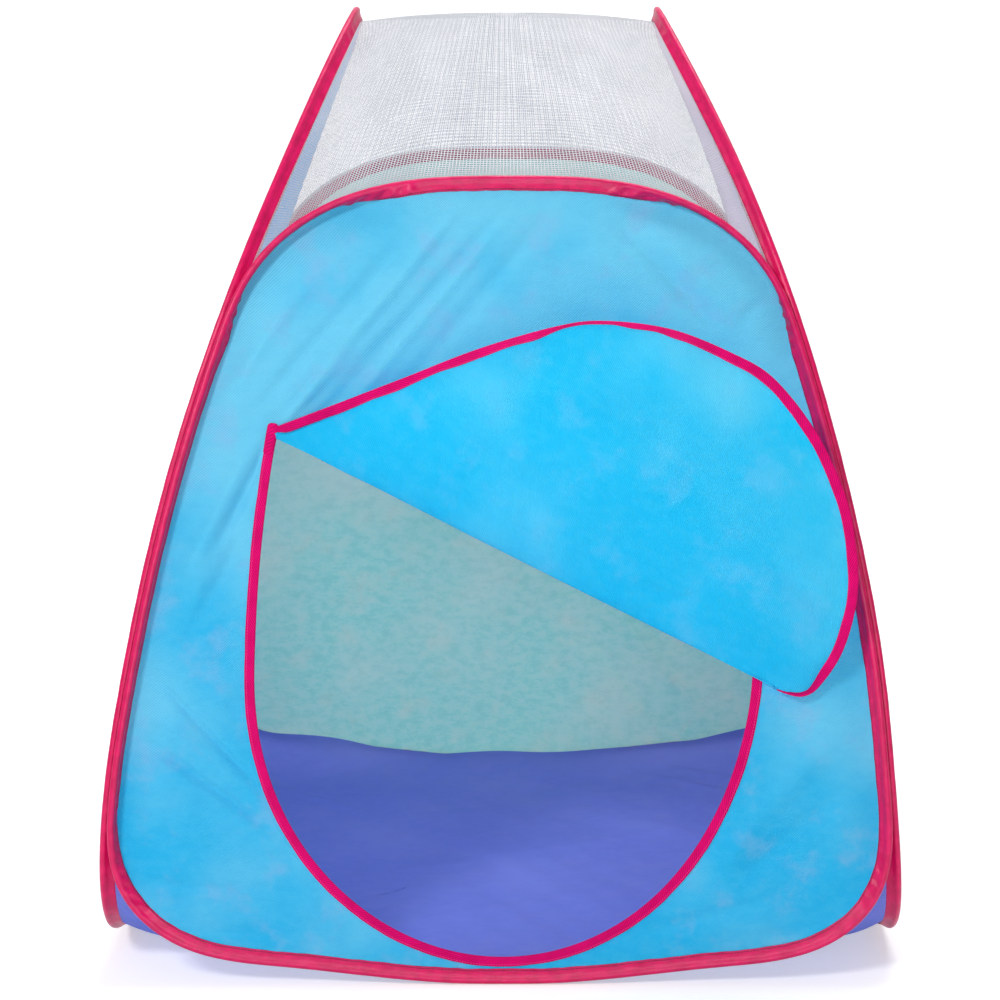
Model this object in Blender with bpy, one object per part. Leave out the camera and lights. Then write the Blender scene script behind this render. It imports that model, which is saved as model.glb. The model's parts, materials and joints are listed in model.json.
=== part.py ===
"""Pop-up play tent: four spring hoops in sewn sleeves, cloth panels, net roof, floor and door flap.

Metres, +Z up, the front faces -Y, and the origin lies on the ground under the middle of the floor.
"""

import math

import bmesh
import bpy
from mathutils import Vector

# Overall form, along the middle of the hoop wires
BASE_WIDTH = 0.753
BASE_DEPTH = 0.748
SIDE_TIP_HEIGHT = 0.898
SIDE_TIP_SPREAD = 0.304
ARCH_HEIGHT = 0.744
ARCH_SPREAD = 0.440

# Where the hoops leave their corner seams, and how square their bends are
CORNER_TOP = 0.190
FRONT_SHOULDER = 0.570
SIDE_SHOULDER = 0.600
FRONT_CORNER_POWER = 2.9
SIDE_CORNER_POWER = 3.6
FRONT_ARCH_POWER = 2.5
SIDE_ARCH_POWER = 2.0

# Spring wire, the crimped tube that joins its ends, and the sleeve round it
WIRE_DIAMETER = 0.0030
WIRE_END_GAP = 0.0010
FERRULE_LENGTH = 0.036
FERRULE_WALL = 0.0004
SLEEVE_WALL = 0.0010
SLEEVE_TURN_IN = 0.0080
FIT = 0.0003

# Cloth
CLOTH = 0.0008
PANEL_SAG = 0.006
STITCH_MARGIN = 0.0005
FLOOR_RAISED_CORNER = 0.140

# The floor from its hem inwards: share of the hem's distance from the middle, and of its height
FLOOR_RING_SHARES = ((0.96, 0.66), (0.91, 0.36), (0.85, 0.14), (0.78, 0.03), (0.70, 0.0), (0.40, 0.0))

# Door opening, its bound edge, and the flap that folds open over the hinge line
OPENING_HALF_WIDTH = 0.233
OPENING_WAIST = 0.300
OPENING_FOOT = 0.0255
OPENING_TOP = 0.866
HINGE_HIGH_END = 0.511
HINGE_LOW_END = 0.292
TAPE_WIDTH = 0.0085
TAPE_WALL = 0.0008
TAPE_EDGE = 0.0010
FLAP_ROLL = 0.022
FLAP_BULGE = 0.040
FLAP_END_INSET = 0.006
FLAP_EDGE_STANDOFF = 0.110
FLAP_BULGE_POWER = 1.5
FLAP_ROLL_DROP = 0.5
FLAP_SKEW = 0.10
LOOP_RISE = 0.0075
LOOP_OVERHANG = 0.0040
LOOP_BEND_RADIUS = 0.0020
LOOP_HALF_WALL = 0.0009
FLAP_PIVOT_DROP = 0.003
FLAP_PIVOT_STANDOFF = 0.005

# Free edge of the open flap: along the hinge line, up the panel, and out from it
FLAP_EDGE_SHARES = (
    (0.018, 0.024, 0.07),
    (0.096, 0.117, 0.32),
    (0.178, 0.200, 0.59),
    (0.272, 0.298, 0.82),
    (0.382, 0.396, 0.95),
    (0.455, 0.441, 1.00),
    (0.564, 0.479, 1.00),
    (0.681, 0.491, 0.95),
    (0.769, 0.486, 0.89),
    (0.879, 0.440, 0.77),
    (0.963, 0.382, 0.65),
    (1.018, 0.329, 0.56),
    (1.072, 0.255, 0.44),
    (1.103, 0.189, 0.33),
    (1.121, 0.106, 0.18),
    (1.112, 0.029, 0.06),
)

# Net roof
NET_GAPS_ACROSS = 12
NET_GAPS_ALONG = 8
NET_THREAD = 0.0030
NET_RIDGE_DROP = 0.011
NET_RIDGE_CROWN = 0.004
NET_JUNCTION_SHARE = 0.374

# Lines the walls turn about when the tent folds flat: outside an opening seam, inside a closing one
OPENING_SEAM_OUTSET = 0.0265
OPENING_SEAM_LOW = 0.14
OPENING_SEAM_HIGH = 0.64
CLOSING_SEAM_INSET = 0.012
CLOSING_SEAM_LOW = 0.10
CLOSING_SEAM_HIGH = 0.70

# How finely the curves are cut
HOOP_HALF_POINTS = 22
OUTLINE_STEPS = 160
BEND_WEIGHT = 0.110
WIRE_SIDES = 6
TUBE_SIDES = 8
PANEL_RING_SHARES = (0.84, 0.62, 0.36)
FRONT_RING_SHARES = (0.25, 0.50, 0.75)
FRONT_RING_TURN = 5
FLOOR_EDGE_POINTS = 14
FLOOR_CORNER_TRIM = 20
FLAP_ROWS = 22
FLAP_STEPS = 9
EDGE_STEPS = 8
LOOP_BENDS = 5
HINGE_LINE_POINTS = 11

# Sizes that follow from those above
WIRE_RADIUS = WIRE_DIAMETER / 2
FERRULE_BORE = WIRE_RADIUS + FIT
FERRULE_RADIUS = FERRULE_BORE + FERRULE_WALL
SLEEVE_BORE = FERRULE_RADIUS + FIT
SLEEVE_RADIUS = SLEEVE_BORE + SLEEVE_WALL
SLOT_HALF = CLOTH / 2 + FIT
SLEEVE_REACH = SLEEVE_RADIUS + SLEEVE_TURN_IN
SLEEVE_CORNER = SLEEVE_RADIUS / math.cos(math.pi / 6)
SEAM_INSET = (2 * SLEEVE_CORNER + FIT) / math.sqrt(2)
INNER_FACE = SLEEVE_CORNER + FIT + CLOTH / 2
SLEEVE_LEG = SLOT_HALF + SLEEVE_WALL
HEM_FACE = SLEEVE_LEG + FIT + CLOTH / 2
TAPE_HALF = SLOT_HALF + TAPE_WALL
NET_JUNCTION = FRONT_SHOULDER + (ARCH_HEIGHT - FRONT_SHOULDER) * NET_JUNCTION_SHARE
HINGE_FACE = "front"

# Each face of the tent: the way along it, and the way out of it
FACES = {
    "front": (Vector((1, 0, 0)), Vector((0, -1, 0))),
    "right": (Vector((0, 1, 0)), Vector((1, 0, 0))),
    "back": (Vector((-1, 0, 0)), Vector((0, 1, 0))),
    "left": (Vector((0, -1, 0)), Vector((-1, 0, 0))),
}
UP = Vector((0, 0, 1))


def clear_scene():
    for obj in list(bpy.data.objects):
        bpy.data.objects.remove(obj, do_unlink=True)


def make_material(name, colour, roughness, metallic=0.0):
    material = bpy.data.materials.new(name)
    material.use_nodes = True
    shader = material.node_tree.nodes["Principled BSDF"]
    shader.inputs["Base Color"].default_value = (*colour, 1.0)
    shader.inputs["Roughness"].default_value = roughness
    shader.inputs["Metallic"].default_value = metallic
    return material


# Faces and their curved surfaces


def is_side(face):
    return face in ("left", "right")


def corner_power(face):
    return SIDE_CORNER_POWER if is_side(face) else FRONT_CORNER_POWER


def lean(height, top, base_half, top_half):
    """How far out the tent stands at a height: upright at the ground and leaning in more with height."""
    rise = (height - SLEEVE_RADIUS) / (top - SLEEVE_RADIUS)
    return base_half - (base_half - top_half) * rise**2


def lean_slope(height, top, base_half, top_half):
    rise = (height - SLEEVE_RADIUS) / (top - SLEEVE_RADIUS)
    return -2 * (base_half - top_half) * rise / (top - SLEEVE_RADIUS)


def lean_sizes(side):
    if side:
        return SIDE_TIP_HEIGHT, BASE_WIDTH / 2, SIDE_TIP_SPREAD / 2
    return ARCH_HEIGHT, BASE_DEPTH / 2, ARCH_SPREAD / 2


def face_distance(face, height):
    return lean(height, *lean_sizes(is_side(face)))


def limb_half_width(face, height):
    """Half the width of a hoop where it runs beside its neighbour, along the corner seam."""
    return lean(height, *lean_sizes(not is_side(face))) - SEAM_INSET


def face_normal(face, height):
    out = FACES[face][1]
    return (out - UP * lean_slope(height, *lean_sizes(is_side(face)))).normalized()


def face_point(face, across, height, off=0.0):
    """A point on a face, at a distance off its curved surface."""
    along, out = FACES[face]
    point = along * across + out * face_distance(face, height) + UP * height
    return point + face_normal(face, height) * off


# Hoops


def hoop_half_outline(face):
    """Half of a hoop on its face, from the middle of its foot to the middle of its arch."""
    shoulder = SIDE_SHOULDER if is_side(face) else FRONT_SHOULDER
    top = SIDE_TIP_HEIGHT if is_side(face) else ARCH_HEIGHT
    power = SIDE_ARCH_POWER if is_side(face) else FRONT_ARCH_POWER
    corner = 2 / corner_power(face)
    points = []
    for step in range(OUTLINE_STEPS):
        turn = math.pi / 2 * step / OUTLINE_STEPS
        height = CORNER_TOP - (CORNER_TOP - SLEEVE_RADIUS) * math.cos(turn) ** corner
        points.append((limb_half_width(face, height) * math.sin(turn) ** corner, height))
    for step in range(OUTLINE_STEPS):
        height = CORNER_TOP + (shoulder - CORNER_TOP) * step / OUTLINE_STEPS
        points.append((limb_half_width(face, height), height))
    for step in range(OUTLINE_STEPS + 1):
        turn = math.pi / 2 * step / OUTLINE_STEPS
        height = shoulder + (top - shoulder) * math.sin(turn) ** (2 / power)
        points.append((limb_half_width(face, height) * abs(math.cos(turn)) ** (2 / power), height))
    return points


def bend_spaced(points, shares):
    """Points of a flat outline at the given shares of its length, counted longer where it bends."""
    flat = [Vector(point) for point in points]
    totals = [0.0]
    for index in range(1, len(flat)):
        run = flat[index] - flat[index - 1]
        bend = 0.0
        if index > 1:
            before = flat[index - 1] - flat[index - 2]
            if before.length > 0 and run.length > 0:
                bend = before.angle(run)
        totals.append(totals[-1] + run.length + BEND_WEIGHT * bend)
    picked = []
    for share in shares:
        target = share * totals[-1]
        index = next((i for i, total in enumerate(totals) if total >= target), len(totals) - 1)
        index = max(index, 1)
        span = totals[index] - totals[index - 1]
        part = (target - totals[index - 1]) / span if span > 0 else 0.0
        picked.append(tuple(flat[index - 1].lerp(flat[index], part)))
    return picked


def hoop_outline(face):
    """The whole hoop, anticlockwise as seen from outside, with a straight stretch at foot and arch."""
    shares = [(index + 0.5) / HOOP_HALF_POINTS for index in range(HOOP_HALF_POINTS)]
    half = bend_spaced(hoop_half_outline(face), shares)
    return half + [(-across, height) for across, height in reversed(half)]


def frames_on_face(face, outline, closed, inward_side):
    """Point, inward direction and outward normal at each point of an outline on a face."""
    points = [face_point(face, across, height) for across, height in outline]
    frames = []
    last = len(points) - 1
    for index, point in enumerate(points):
        if closed:
            before, after = points[index - 1], points[(index + 1) % len(points)]
        else:
            before, after = points[max(index - 1, 0)], points[min(index + 1, last)]
        normal = face_normal(face, outline[index][1])
        inward = normal.cross((after - before).normalized()) * inward_side
        frames.append((point, inward.normalized(), normal))
    return frames


# Meshes


def new_object(name, mesh, material, smooth=True):
    obj = bpy.data.objects.new(name, mesh)
    bpy.context.scene.collection.objects.link(obj)
    mesh.materials.append(material)
    if smooth:
        mesh.shade_smooth()
        mesh.set_sharp_from_angle(angle=math.radians(50))
    return obj


def finish_mesh(name, bm):
    bmesh.ops.recalc_face_normals(bm, faces=bm.faces)
    if bm.calc_volume(signed=True) < 0:
        bmesh.ops.reverse_faces(bm, faces=bm.faces)
    mesh = bpy.data.meshes.new(name)
    bm.to_mesh(mesh)
    bm.free()
    return mesh


def sweep(name, frames, section, material, closed):
    """A section of (inward, outward) points carried along frames, as one closed solid."""
    bm = bmesh.new()
    rings = []
    for point, inward, normal in frames:
        rings.append([bm.verts.new(point + inward * u + normal * w) for u, w in section])
    count = len(rings) if closed else len(rings) - 1
    for index in range(count):
        ring, following = rings[index], rings[(index + 1) % len(rings)]
        for corner in range(len(section)):
            beyond = (corner + 1) % len(section)
            bm.faces.new((ring[corner], ring[beyond], following[beyond], following[corner]))
    if not closed:
        bm.faces.new(rings[0])
        bm.faces.new(reversed(rings[-1]))
    bmesh.ops.triangulate(bm, faces=[face for face in bm.faces if len(face.verts) > 4])
    return new_object(name, finish_mesh(name, bm), material)


def cloth_object(name, bm, material, thickness=CLOTH):
    """A sheet of cloth, from its middle surface."""
    obj = new_object(name, finish_mesh(name, bm), material)
    solidify = obj.modifiers.new("Cloth thickness", "SOLIDIFY")
    solidify.thickness = thickness
    solidify.offset = 0.0
    return obj


def join_rings(bm, outer, inner):
    for index in range(len(outer)):
        after = (index + 1) % len(outer)
        bm.faces.new((outer[index], outer[after], inner[after], inner[index]))


def polygon_section(radius, sides, turn=0.0):
    """A regular section whose flats lie at the radius."""
    corner = radius / math.cos(math.pi / sides)
    angles = [turn + 2 * math.pi * index / sides for index in range(sides)]
    return [(corner * math.cos(angle), corner * math.sin(angle)) for angle in angles]


# Pieces of one hoop


def sleeve_section():
    """Binding folded round the wire, with its two edges sewn down on the panel's edge."""
    skin = SLEEVE_CORNER
    bore = SLEEVE_BORE / math.cos(math.pi / 6)
    inside = [
        (SLEEVE_REACH, SLOT_HALF),
        (SLEEVE_BORE, SLOT_HALF),
        (SLEEVE_BORE, bore / 2),
        (0.0, bore),
        (-SLEEVE_BORE, bore / 2),
    ]
    outside = [
        (-SLEEVE_RADIUS, skin / 2),
        (0.0, skin),
        (SLEEVE_RADIUS, SLEEVE_LEG),
        (SLEEVE_REACH, SLEEVE_LEG),
    ]
    return inside + mirrored_back(inside) + mirrored_back(outside) + outside


def mirrored_back(half):
    """The other half of a section, in the order that carries on from this one."""
    return [(u, -w) for u, w in reversed(half)]


def build_hoop(face, steel, crimp, binding):
    outline = hoop_outline(face)
    frames = frames_on_face(face, outline, True, 1)
    sleeve = sweep(f"{face}_hoop_sleeve", frames, sleeve_section(), binding, True)
    half_gap = WIRE_END_GAP / 2
    wire_outline = [(half_gap, SLEEVE_RADIUS), *outline, (-half_gap, SLEEVE_RADIUS)]
    wire_frames = frames_on_face(face, wire_outline, False, 1)
    wire_frames[1:-1] = frames
    wire_section = polygon_section(WIRE_RADIUS * math.cos(math.pi / WIRE_SIDES), WIRE_SIDES)
    wire = sweep(f"{face}_hoop_wire", wire_frames, wire_section, steel, False)
    return [sleeve, wire, build_ferrule(face, crimp)]


def build_ferrule(face, crimp):
    """Crimped tube over the two wire ends, in the middle of the hoop's foot."""
    along, out = FACES[face]
    centre = face_point(face, 0.0, SLEEVE_RADIUS)
    bm = bmesh.new()
    rings = []
    for end in (-1, 1):
        for radius in (FERRULE_BORE, FERRULE_RADIUS):
            middle = centre + along * (end * FERRULE_LENGTH / 2)
            corners = polygon_section(radius, TUBE_SIDES, math.pi / TUBE_SIDES)
            rings.append([bm.verts.new(middle + out * u + UP * w) for u, w in corners])
    near_bore, near_skin, far_bore, far_skin = rings
    for first, second in (
        (near_bore, near_skin),
        (near_skin, far_skin),
        (far_skin, far_bore),
        (far_bore, near_bore),
    ):
        join_rings(bm, first, second)
    name = f"{face}_hoop_ferrule"
    return new_object(name, finish_mesh(name, bm), crimp)


# Panels


def edge_rings(bm, frames):
    """The two outermost rings of a panel: its edge in the sleeve's slot, and just clear of the sleeve."""
    edge = SLEEVE_BORE + STITCH_MARGIN
    clear = SLEEVE_REACH + STITCH_MARGIN
    return [
        [bm.verts.new(point + inward * reach) for point, inward, _normal in frames]
        for reach in (edge, clear)
    ]


def build_plain_panel(face, cloth):
    outline = hoop_outline(face)
    frames = frames_on_face(face, outline, True, 1)
    bm = bmesh.new()
    edge, clear = edge_rings(bm, frames)
    join_rings(bm, edge, clear)
    highest = max(height for _across, height in outline)
    middle = (highest + SLEEVE_RADIUS) / 2
    previous = clear
    for share in PANEL_RING_SHARES:
        sag = -PANEL_SAG * (1 - share**2)
        ring = [
            bm.verts.new(face_point(face, across * share, middle + (height - middle) * share, sag))
            for across, height in outline
        ]
        join_rings(bm, previous, ring)
        previous = ring
    centre = bm.verts.new(face_point(face, 0.0, middle, -PANEL_SAG))
    for index, corner in enumerate(previous):
        bm.faces.new((corner, previous[(index + 1) % len(previous)], centre))
    return cloth_object(f"{face}_panel", bm, cloth)


# Door opening


def opening_side(height):
    """Half the width of the door opening at a height: two half ellipses that meet at its waist."""
    end = OPENING_TOP if height > OPENING_WAIST else OPENING_FOOT
    share = (height - OPENING_WAIST) / (end - OPENING_WAIST)
    return OPENING_HALF_WIDTH * math.sqrt(max(0.0, 1 - share**2))


def opening_cut():
    """The cut edge of the opening, from its high end down the left, round the foot and up the right."""
    dense = []
    for step in range(OUTLINE_STEPS):
        height = HINGE_HIGH_END + (OPENING_WAIST - HINGE_HIGH_END) * step / OUTLINE_STEPS
        dense.append((-opening_side(height), height))
    low_turn = math.acos((OPENING_WAIST - HINGE_LOW_END) / (OPENING_WAIST - OPENING_FOOT))
    for step in range(OUTLINE_STEPS + 1):
        turn = -math.pi / 2 + (math.pi / 2 + low_turn) * step / OUTLINE_STEPS
        depth = (OPENING_WAIST - OPENING_FOOT) * math.cos(turn)
        dense.append((OPENING_HALF_WIDTH * math.sin(turn), OPENING_WAIST - depth))
    count = 2 * HOOP_HALF_POINTS - HINGE_LINE_POINTS
    return bend_spaced(dense, [index / (count - 1) for index in range(count)])


def hinge_place(share):
    """Where on the front face a share of the hinge line lies, from its high end to its low end."""
    high = Vector((-opening_side(HINGE_HIGH_END), HINGE_HIGH_END))
    low = Vector((opening_side(HINGE_LOW_END), HINGE_LOW_END))
    return tuple(high.lerp(low, share))


def hinge_line():
    """The straight fold of the door between the two ends of the cut, from the low end to the high."""
    steps = HINGE_LINE_POINTS + 1
    return [hinge_place(1 - index / steps) for index in range(1, steps)]


def build_front_panel(cloth):
    face = HINGE_FACE
    outline = hoop_outline(face)
    frames = frames_on_face(face, outline, True, 1)
    hole = opening_cut() + hinge_line()
    hole_frames = frames_on_face(face, hole, True, -1)
    start = HOOP_HALF_POINTS + FRONT_RING_TURN
    outline = outline[start:] + outline[:start]
    frames = frames[start:] + frames[:start]
    bm = bmesh.new()
    edge, clear = edge_rings(bm, frames)
    join_rings(bm, edge, clear)
    previous = clear
    tape_clear = TAPE_WIDTH + STITCH_MARGIN
    for share in FRONT_RING_SHARES:
        ring = []
        for (across, height), (hole_across, hole_height) in zip(outline, hole):
            place = (
                across + (hole_across - across) * share,
                height + (hole_height - height) * share,
            )
            ring.append(bm.verts.new(face_point(face, *place)))
        join_rings(bm, previous, ring)
        previous = ring
    for reach in (tape_clear, CLOTH):
        ring = [bm.verts.new(point + inward * reach) for point, inward, _normal in hole_frames]
        join_rings(bm, previous, ring)
        previous = ring
    cloth_object("front_panel", bm, cloth)


def tape_section():
    """Tape folded over a cloth edge."""
    return [
        (-TAPE_EDGE, -TAPE_HALF),
        (-TAPE_EDGE, TAPE_HALF),
        (TAPE_WIDTH, TAPE_HALF),
        (TAPE_WIDTH, SLOT_HALF),
        (0.0, SLOT_HALF),
        (0.0, -SLOT_HALF),
        (TAPE_WIDTH, -SLOT_HALF),
        (TAPE_WIDTH, -TAPE_HALF),
    ]


def build_opening_binding(tape):
    cut = opening_cut()
    frames = frames_on_face(HINGE_FACE, cut, False, -1)
    sweep("door_opening_binding", frames, tape_section(), tape, False)


# Door flap


def hinge_frame():
    """The hinge line's high end, its direction to the low end, and the ways up the panel and out."""
    high = face_point(HINGE_FACE, *hinge_place(0.0))
    low = face_point(HINGE_FACE, *hinge_place(1.0))
    along = (low - high).normalized()
    out = face_normal(HINGE_FACE, (HINGE_HIGH_END + HINGE_LOW_END) / 2)
    out = (out - along * out.dot(along)).normalized()
    return high, along, out.cross(along), out, (low - high).length


def smooth_through(points, steps):
    """Points on a smooth curve through the given ones, evenly many between each two."""
    padded = [2 * points[0] - points[1], *points, 2 * points[-1] - points[-2]]
    curve = []
    for index in range(1, len(padded) - 2):
        p0, p1, p2, p3 = padded[index - 1 : index + 3]
        for step in range(steps):
            t = step / steps
            curve.append(
                0.5
                * (
                    2 * p1
                    + (p2 - p0) * t
                    + (2 * p0 - 5 * p1 + 4 * p2 - p3) * t**2
                    + (3 * p1 - p0 - 3 * p2 + p3) * t**3
                )
            )
    curve.append(points[-1])
    return curve


def spread_evenly(points, count):
    lengths = [0.0]
    for before, after in zip(points, points[1:]):
        lengths.append(lengths[-1] + (after - before).length)
    picked = []
    for index in range(count):
        target = lengths[-1] * index / (count - 1)
        place = next((i for i, length in enumerate(lengths) if length >= target - FIT / 100), 0)
        place = max(place, 1)
        part = (target - lengths[place - 1]) / (lengths[place] - lengths[place - 1])
        picked.append(points[place - 1].lerp(points[place], part))
    return picked


def flap_foot(share, up, length):
    """A point of the fold, on the curved panel just below its cut edge."""
    inset = FLAP_END_INSET / length
    place = hinge_place(inset + (1 - 2 * inset) * share)
    return face_point(HINGE_FACE, *place, CLOTH + FIT) - up * (FIT + CLOTH / 2)


def flap_rows():
    """Rows of points across the open flap, each from the fold to its hem and on to the free edge."""
    high, along, up, out, length = hinge_frame()
    edge = [
        high + along * (a * length) + up * (b * length) + out * (c * FLAP_EDGE_STANDOFF)
        for a, b, c in FLAP_EDGE_SHARES
    ]
    edge = spread_evenly(smooth_through(edge, EDGE_STEPS), FLAP_ROWS)
    rows = []
    frames = []
    for index, tip in enumerate(edge):
        share = index / (FLAP_ROWS - 1)
        fold = flap_foot(share, up, length)
        tangent = (edge[min(index + 1, len(edge) - 1)] - edge[max(index - 1, 0)]).normalized()
        inward = fold + along * (length * FLAP_SKEW * (0.5 - share)) - tip
        inward = (inward - tangent * inward.dot(tangent)).normalized()
        frames.append((tip - inward * FIT, inward, tangent.cross(inward)))
        hem = tip + inward * (TAPE_WIDTH + STITCH_MARGIN)
        fullness = math.sin(math.pi * share) ** FLAP_BULGE_POWER
        lower = fold + (out - up * FLAP_ROLL_DROP) * (FLAP_ROLL * fullness)
        upper = fold.lerp(hem, 0.5) + out * (FLAP_BULGE * fullness)
        row = []
        for step in range(FLAP_STEPS):
            t = step / (FLAP_STEPS - 1)
            s = 1 - t
            row.append(s**3 * fold + 3 * s**2 * t * lower + 3 * s * t**2 * upper + t**3 * hem)
        rows.append([*row, tip])
    return rows, frames


def build_flap(cloth, tape):
    rows, frames = flap_rows()
    bm = bmesh.new()
    grid = [[bm.verts.new(point) for point in row] for row in rows]
    for first, second in zip(grid, grid[1:]):
        for index in range(FLAP_STEPS):
            bm.faces.new((first[index], first[index + 1], second[index + 1], second[index]))
    flap = cloth_object("door_flap", bm, cloth)
    return [flap, sweep("door_flap_binding", frames, tape_section(), tape, False)]


def build_corner_loop(tape):
    """Folded end of the opening's tape, standing above the high end of the hinge line."""
    high, along, up, out, _length = hinge_frame()
    foot = high - along * ((TAPE_WIDTH - TAPE_EDGE) / 2) + up * (FIT + CLOTH)
    foot += out * (SLOT_HALF + LOOP_HALF_WALL)
    top = LOOP_RISE - LOOP_BEND_RADIUS
    path = [(0.0, 0.0), (top, 0.0)]
    for step in range(1, LOOP_BENDS):
        turn = math.pi * step / LOOP_BENDS
        bulge = LOOP_BEND_RADIUS * (1 - math.cos(turn))
        path.append((top + LOOP_BEND_RADIUS * math.sin(turn), bulge))
    path += [(top, 2 * LOOP_BEND_RADIUS), (top - LOOP_OVERHANG, 2 * LOOP_BEND_RADIUS)]
    points = [foot + up * rise + out * stand for rise, stand in path]
    frames = []
    for index, point in enumerate(points):
        way = points[min(index + 1, len(points) - 1)] - points[max(index - 1, 0)]
        frames.append((point, along, way.normalized().cross(along)))
    half = (TAPE_WIDTH + TAPE_EDGE) / 2
    section = [
        (-half, -LOOP_HALF_WALL),
        (half, -LOOP_HALF_WALL),
        (half, LOOP_HALF_WALL),
        (-half, LOOP_HALF_WALL),
    ]
    sweep("door_corner_loop", frames, section, tape, False)


# Floor and roof


def floor_outline(face):
    """A hoop's foot between the raised corners of the floor, clockwise as seen from outside."""
    half = [place for place in hoop_half_outline(face) if place[1] <= FLOOR_RAISED_CORNER]
    half = half[: len(half) - len(half) // FLOOR_CORNER_TRIM]
    whole = [(-across, height) for across, height in reversed(half[1:])] + half
    shares = [index / (FLOOR_EDGE_POINTS - 1) for index in range(FLOOR_EDGE_POINTS)]
    return bend_spaced(whole, shares)


def build_floor(cloth):
    """Floor cloth turned up all round, so that its hem covers the feet of the hoops from inside."""
    edge = []
    reach = SLEEVE_REACH - STITCH_MARGIN
    for face in FACES:
        for point, inward, normal in frames_on_face(face, floor_outline(face), False, 1):
            edge.append(point + inward * reach - normal * HEM_FACE)
    bm = bmesh.new()
    previous = [bm.verts.new(point) for point in edge]
    ground = CLOTH / 2
    for inset, rise in FLOOR_RING_SHARES:
        ring = [
            bm.verts.new((point.x * inset, point.y * inset, ground + (point.z - ground) * rise))
            for point in edge
        ]
        join_rings(bm, previous, ring)
        previous = ring
    bm.faces.new(previous)
    cloth_object("floor_sheet", bm, cloth)


def upper_outline(face, start_height):
    """A hoop's half outline above a height, ending at the middle of its arch."""
    return [place for place in hoop_half_outline(face) if place[1] >= start_height]


def arc_point(points, share):
    lengths = [0.0]
    for before, after in zip(points, points[1:]):
        lengths.append(lengths[-1] + (after - before).length)
    target = share * lengths[-1]
    place = next((i for i, length in enumerate(lengths) if length >= target), len(points) - 1)
    place = max(place, 1)
    part = (target - lengths[place - 1]) / (lengths[place] - lengths[place - 1])
    return points[place - 1].lerp(points[place], min(part, 1.0))


def roof_curves():
    """The four edges of the front half of the roof: arch, ridge, left limb and right limb."""
    arch_half = [
        face_point("front", across, height, -INNER_FACE)
        for across, height in upper_outline("front", NET_JUNCTION)
    ]
    limb = [
        face_point("right", -across, height, -INNER_FACE)
        for across, height in upper_outline("right", NET_JUNCTION)
    ]
    limb = [point for point in limb if point.z <= SIDE_TIP_HEIGHT - NET_RIDGE_DROP]
    corner = arch_half[0].lerp(limb[0], 0.5)
    arch_half[0] = corner
    limb[0] = corner
    end = limb[-1]
    limb.append(Vector((end.x, -CLOTH, end.z)))
    mirrored = [Vector((-point.x, point.y, point.z)) for point in arch_half]
    arch = mirrored + list(reversed(arch_half))
    left_limb = [Vector((-point.x, point.y, point.z)) for point in limb]
    return arch, left_limb, limb


def roof_point(curves, u, v):
    """A point of the roof's front half: u from left to right, v from the arch to the ridge."""
    arch, left_limb, right_limb = curves
    low = arc_point(arch, u)
    left = arc_point(left_limb, v)
    right = arc_point(right_limb, v)
    high = left_limb[-1].lerp(right_limb[-1], u)
    high = high + UP * (4 * NET_RIDGE_CROWN * u * (1 - u))
    across = left.lerp(right, u)
    along = low.lerp(high, v)
    corners = arch[0].lerp(arch[-1], u).lerp(left_limb[-1].lerp(right_limb[-1], u), v)
    return across + along - corners


def build_roof_half(name, net, mirror):
    curves = roof_curves()
    width = (curves[0][0] - curves[0][-1]).length
    length = (curves[1][-1] - curves[1][0]).length
    cuts_u = thread_edges(NET_GAPS_ACROSS, NET_THREAD / width)
    cuts_v = thread_edges(NET_GAPS_ALONG, NET_THREAD / length)
    bm = bmesh.new()
    grid = [[bm.verts.new(roof_point(curves, u, v)) for v in cuts_v] for u in cuts_u]
    for i in range(len(cuts_u) - 1):
        for j in range(len(cuts_v) - 1):
            if i % 2 == 1 and j % 2 == 1:
                continue
            bm.faces.new((grid[i][j], grid[i + 1][j], grid[i + 1][j + 1], grid[i][j + 1]))
    if mirror:
        bmesh.ops.scale(bm, vec=(1, -1, 1), verts=bm.verts)
    cloth_object(name, bm, net)


def thread_edges(gaps, thread_share):
    """Both edges of each thread, as shares from one side of the net to the other."""
    pitch = (1 - thread_share) / gaps
    edges = []
    for index in range(gaps + 1):
        edges += [index * pitch, index * pitch + thread_share]
    return edges


# Joints


def seam_line(side, end, offset, low, high):
    """Middle and upward direction of a straight line along a corner seam, off the walls it joins."""
    ends = [
        Vector(
            (
                side * (face_distance("right", height) + offset),
                end * (face_distance("front", height) + offset),
                height,
            )
        )
        for height in (low, high)
    ]
    return ends[0].lerp(ends[1], 0.5), (ends[1] - ends[0]).normalized()


def add_pivot(name, line, parent, pieces):
    """An empty on a joint's line, its Z along it, that carries the pieces that turn about it."""
    place, direction = line
    pivot = bpy.data.objects.new(name, None)
    bpy.context.scene.collection.objects.link(pivot)
    pivot.rotation_euler = direction.to_track_quat("Z", "Y").to_euler()
    pivot.location = place
    bpy.context.view_layer.update()
    if parent is not None:
        set_parent(pivot, parent)
    for piece in pieces:
        set_parent(piece, pivot)
    return pivot


def set_parent(child, parent):
    child.parent = parent
    child.matrix_parent_inverse = parent.matrix_world.inverted()
    bpy.context.view_layer.update()


def add_joints(walls, flap):
    closing = (-CLOSING_SEAM_INSET, CLOSING_SEAM_LOW, CLOSING_SEAM_HIGH)
    opening = (OPENING_SEAM_OUTSET, OPENING_SEAM_LOW, OPENING_SEAM_HIGH)
    left = add_pivot("front_left_fold", seam_line(-1, -1, *opening), None, walls["left"])
    add_pivot("front_right_fold", seam_line(1, -1, *closing), None, walls["right"])
    add_pivot("back_left_fold", seam_line(-1, 1, *closing), left, walls["back"])
    high, along, up, out, length = hinge_frame()
    middle = high + along * (length / 2) - up * FLAP_PIVOT_DROP + out * FLAP_PIVOT_STANDOFF
    add_pivot("door_flap_hinge", (middle, along), None, flap)


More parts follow.
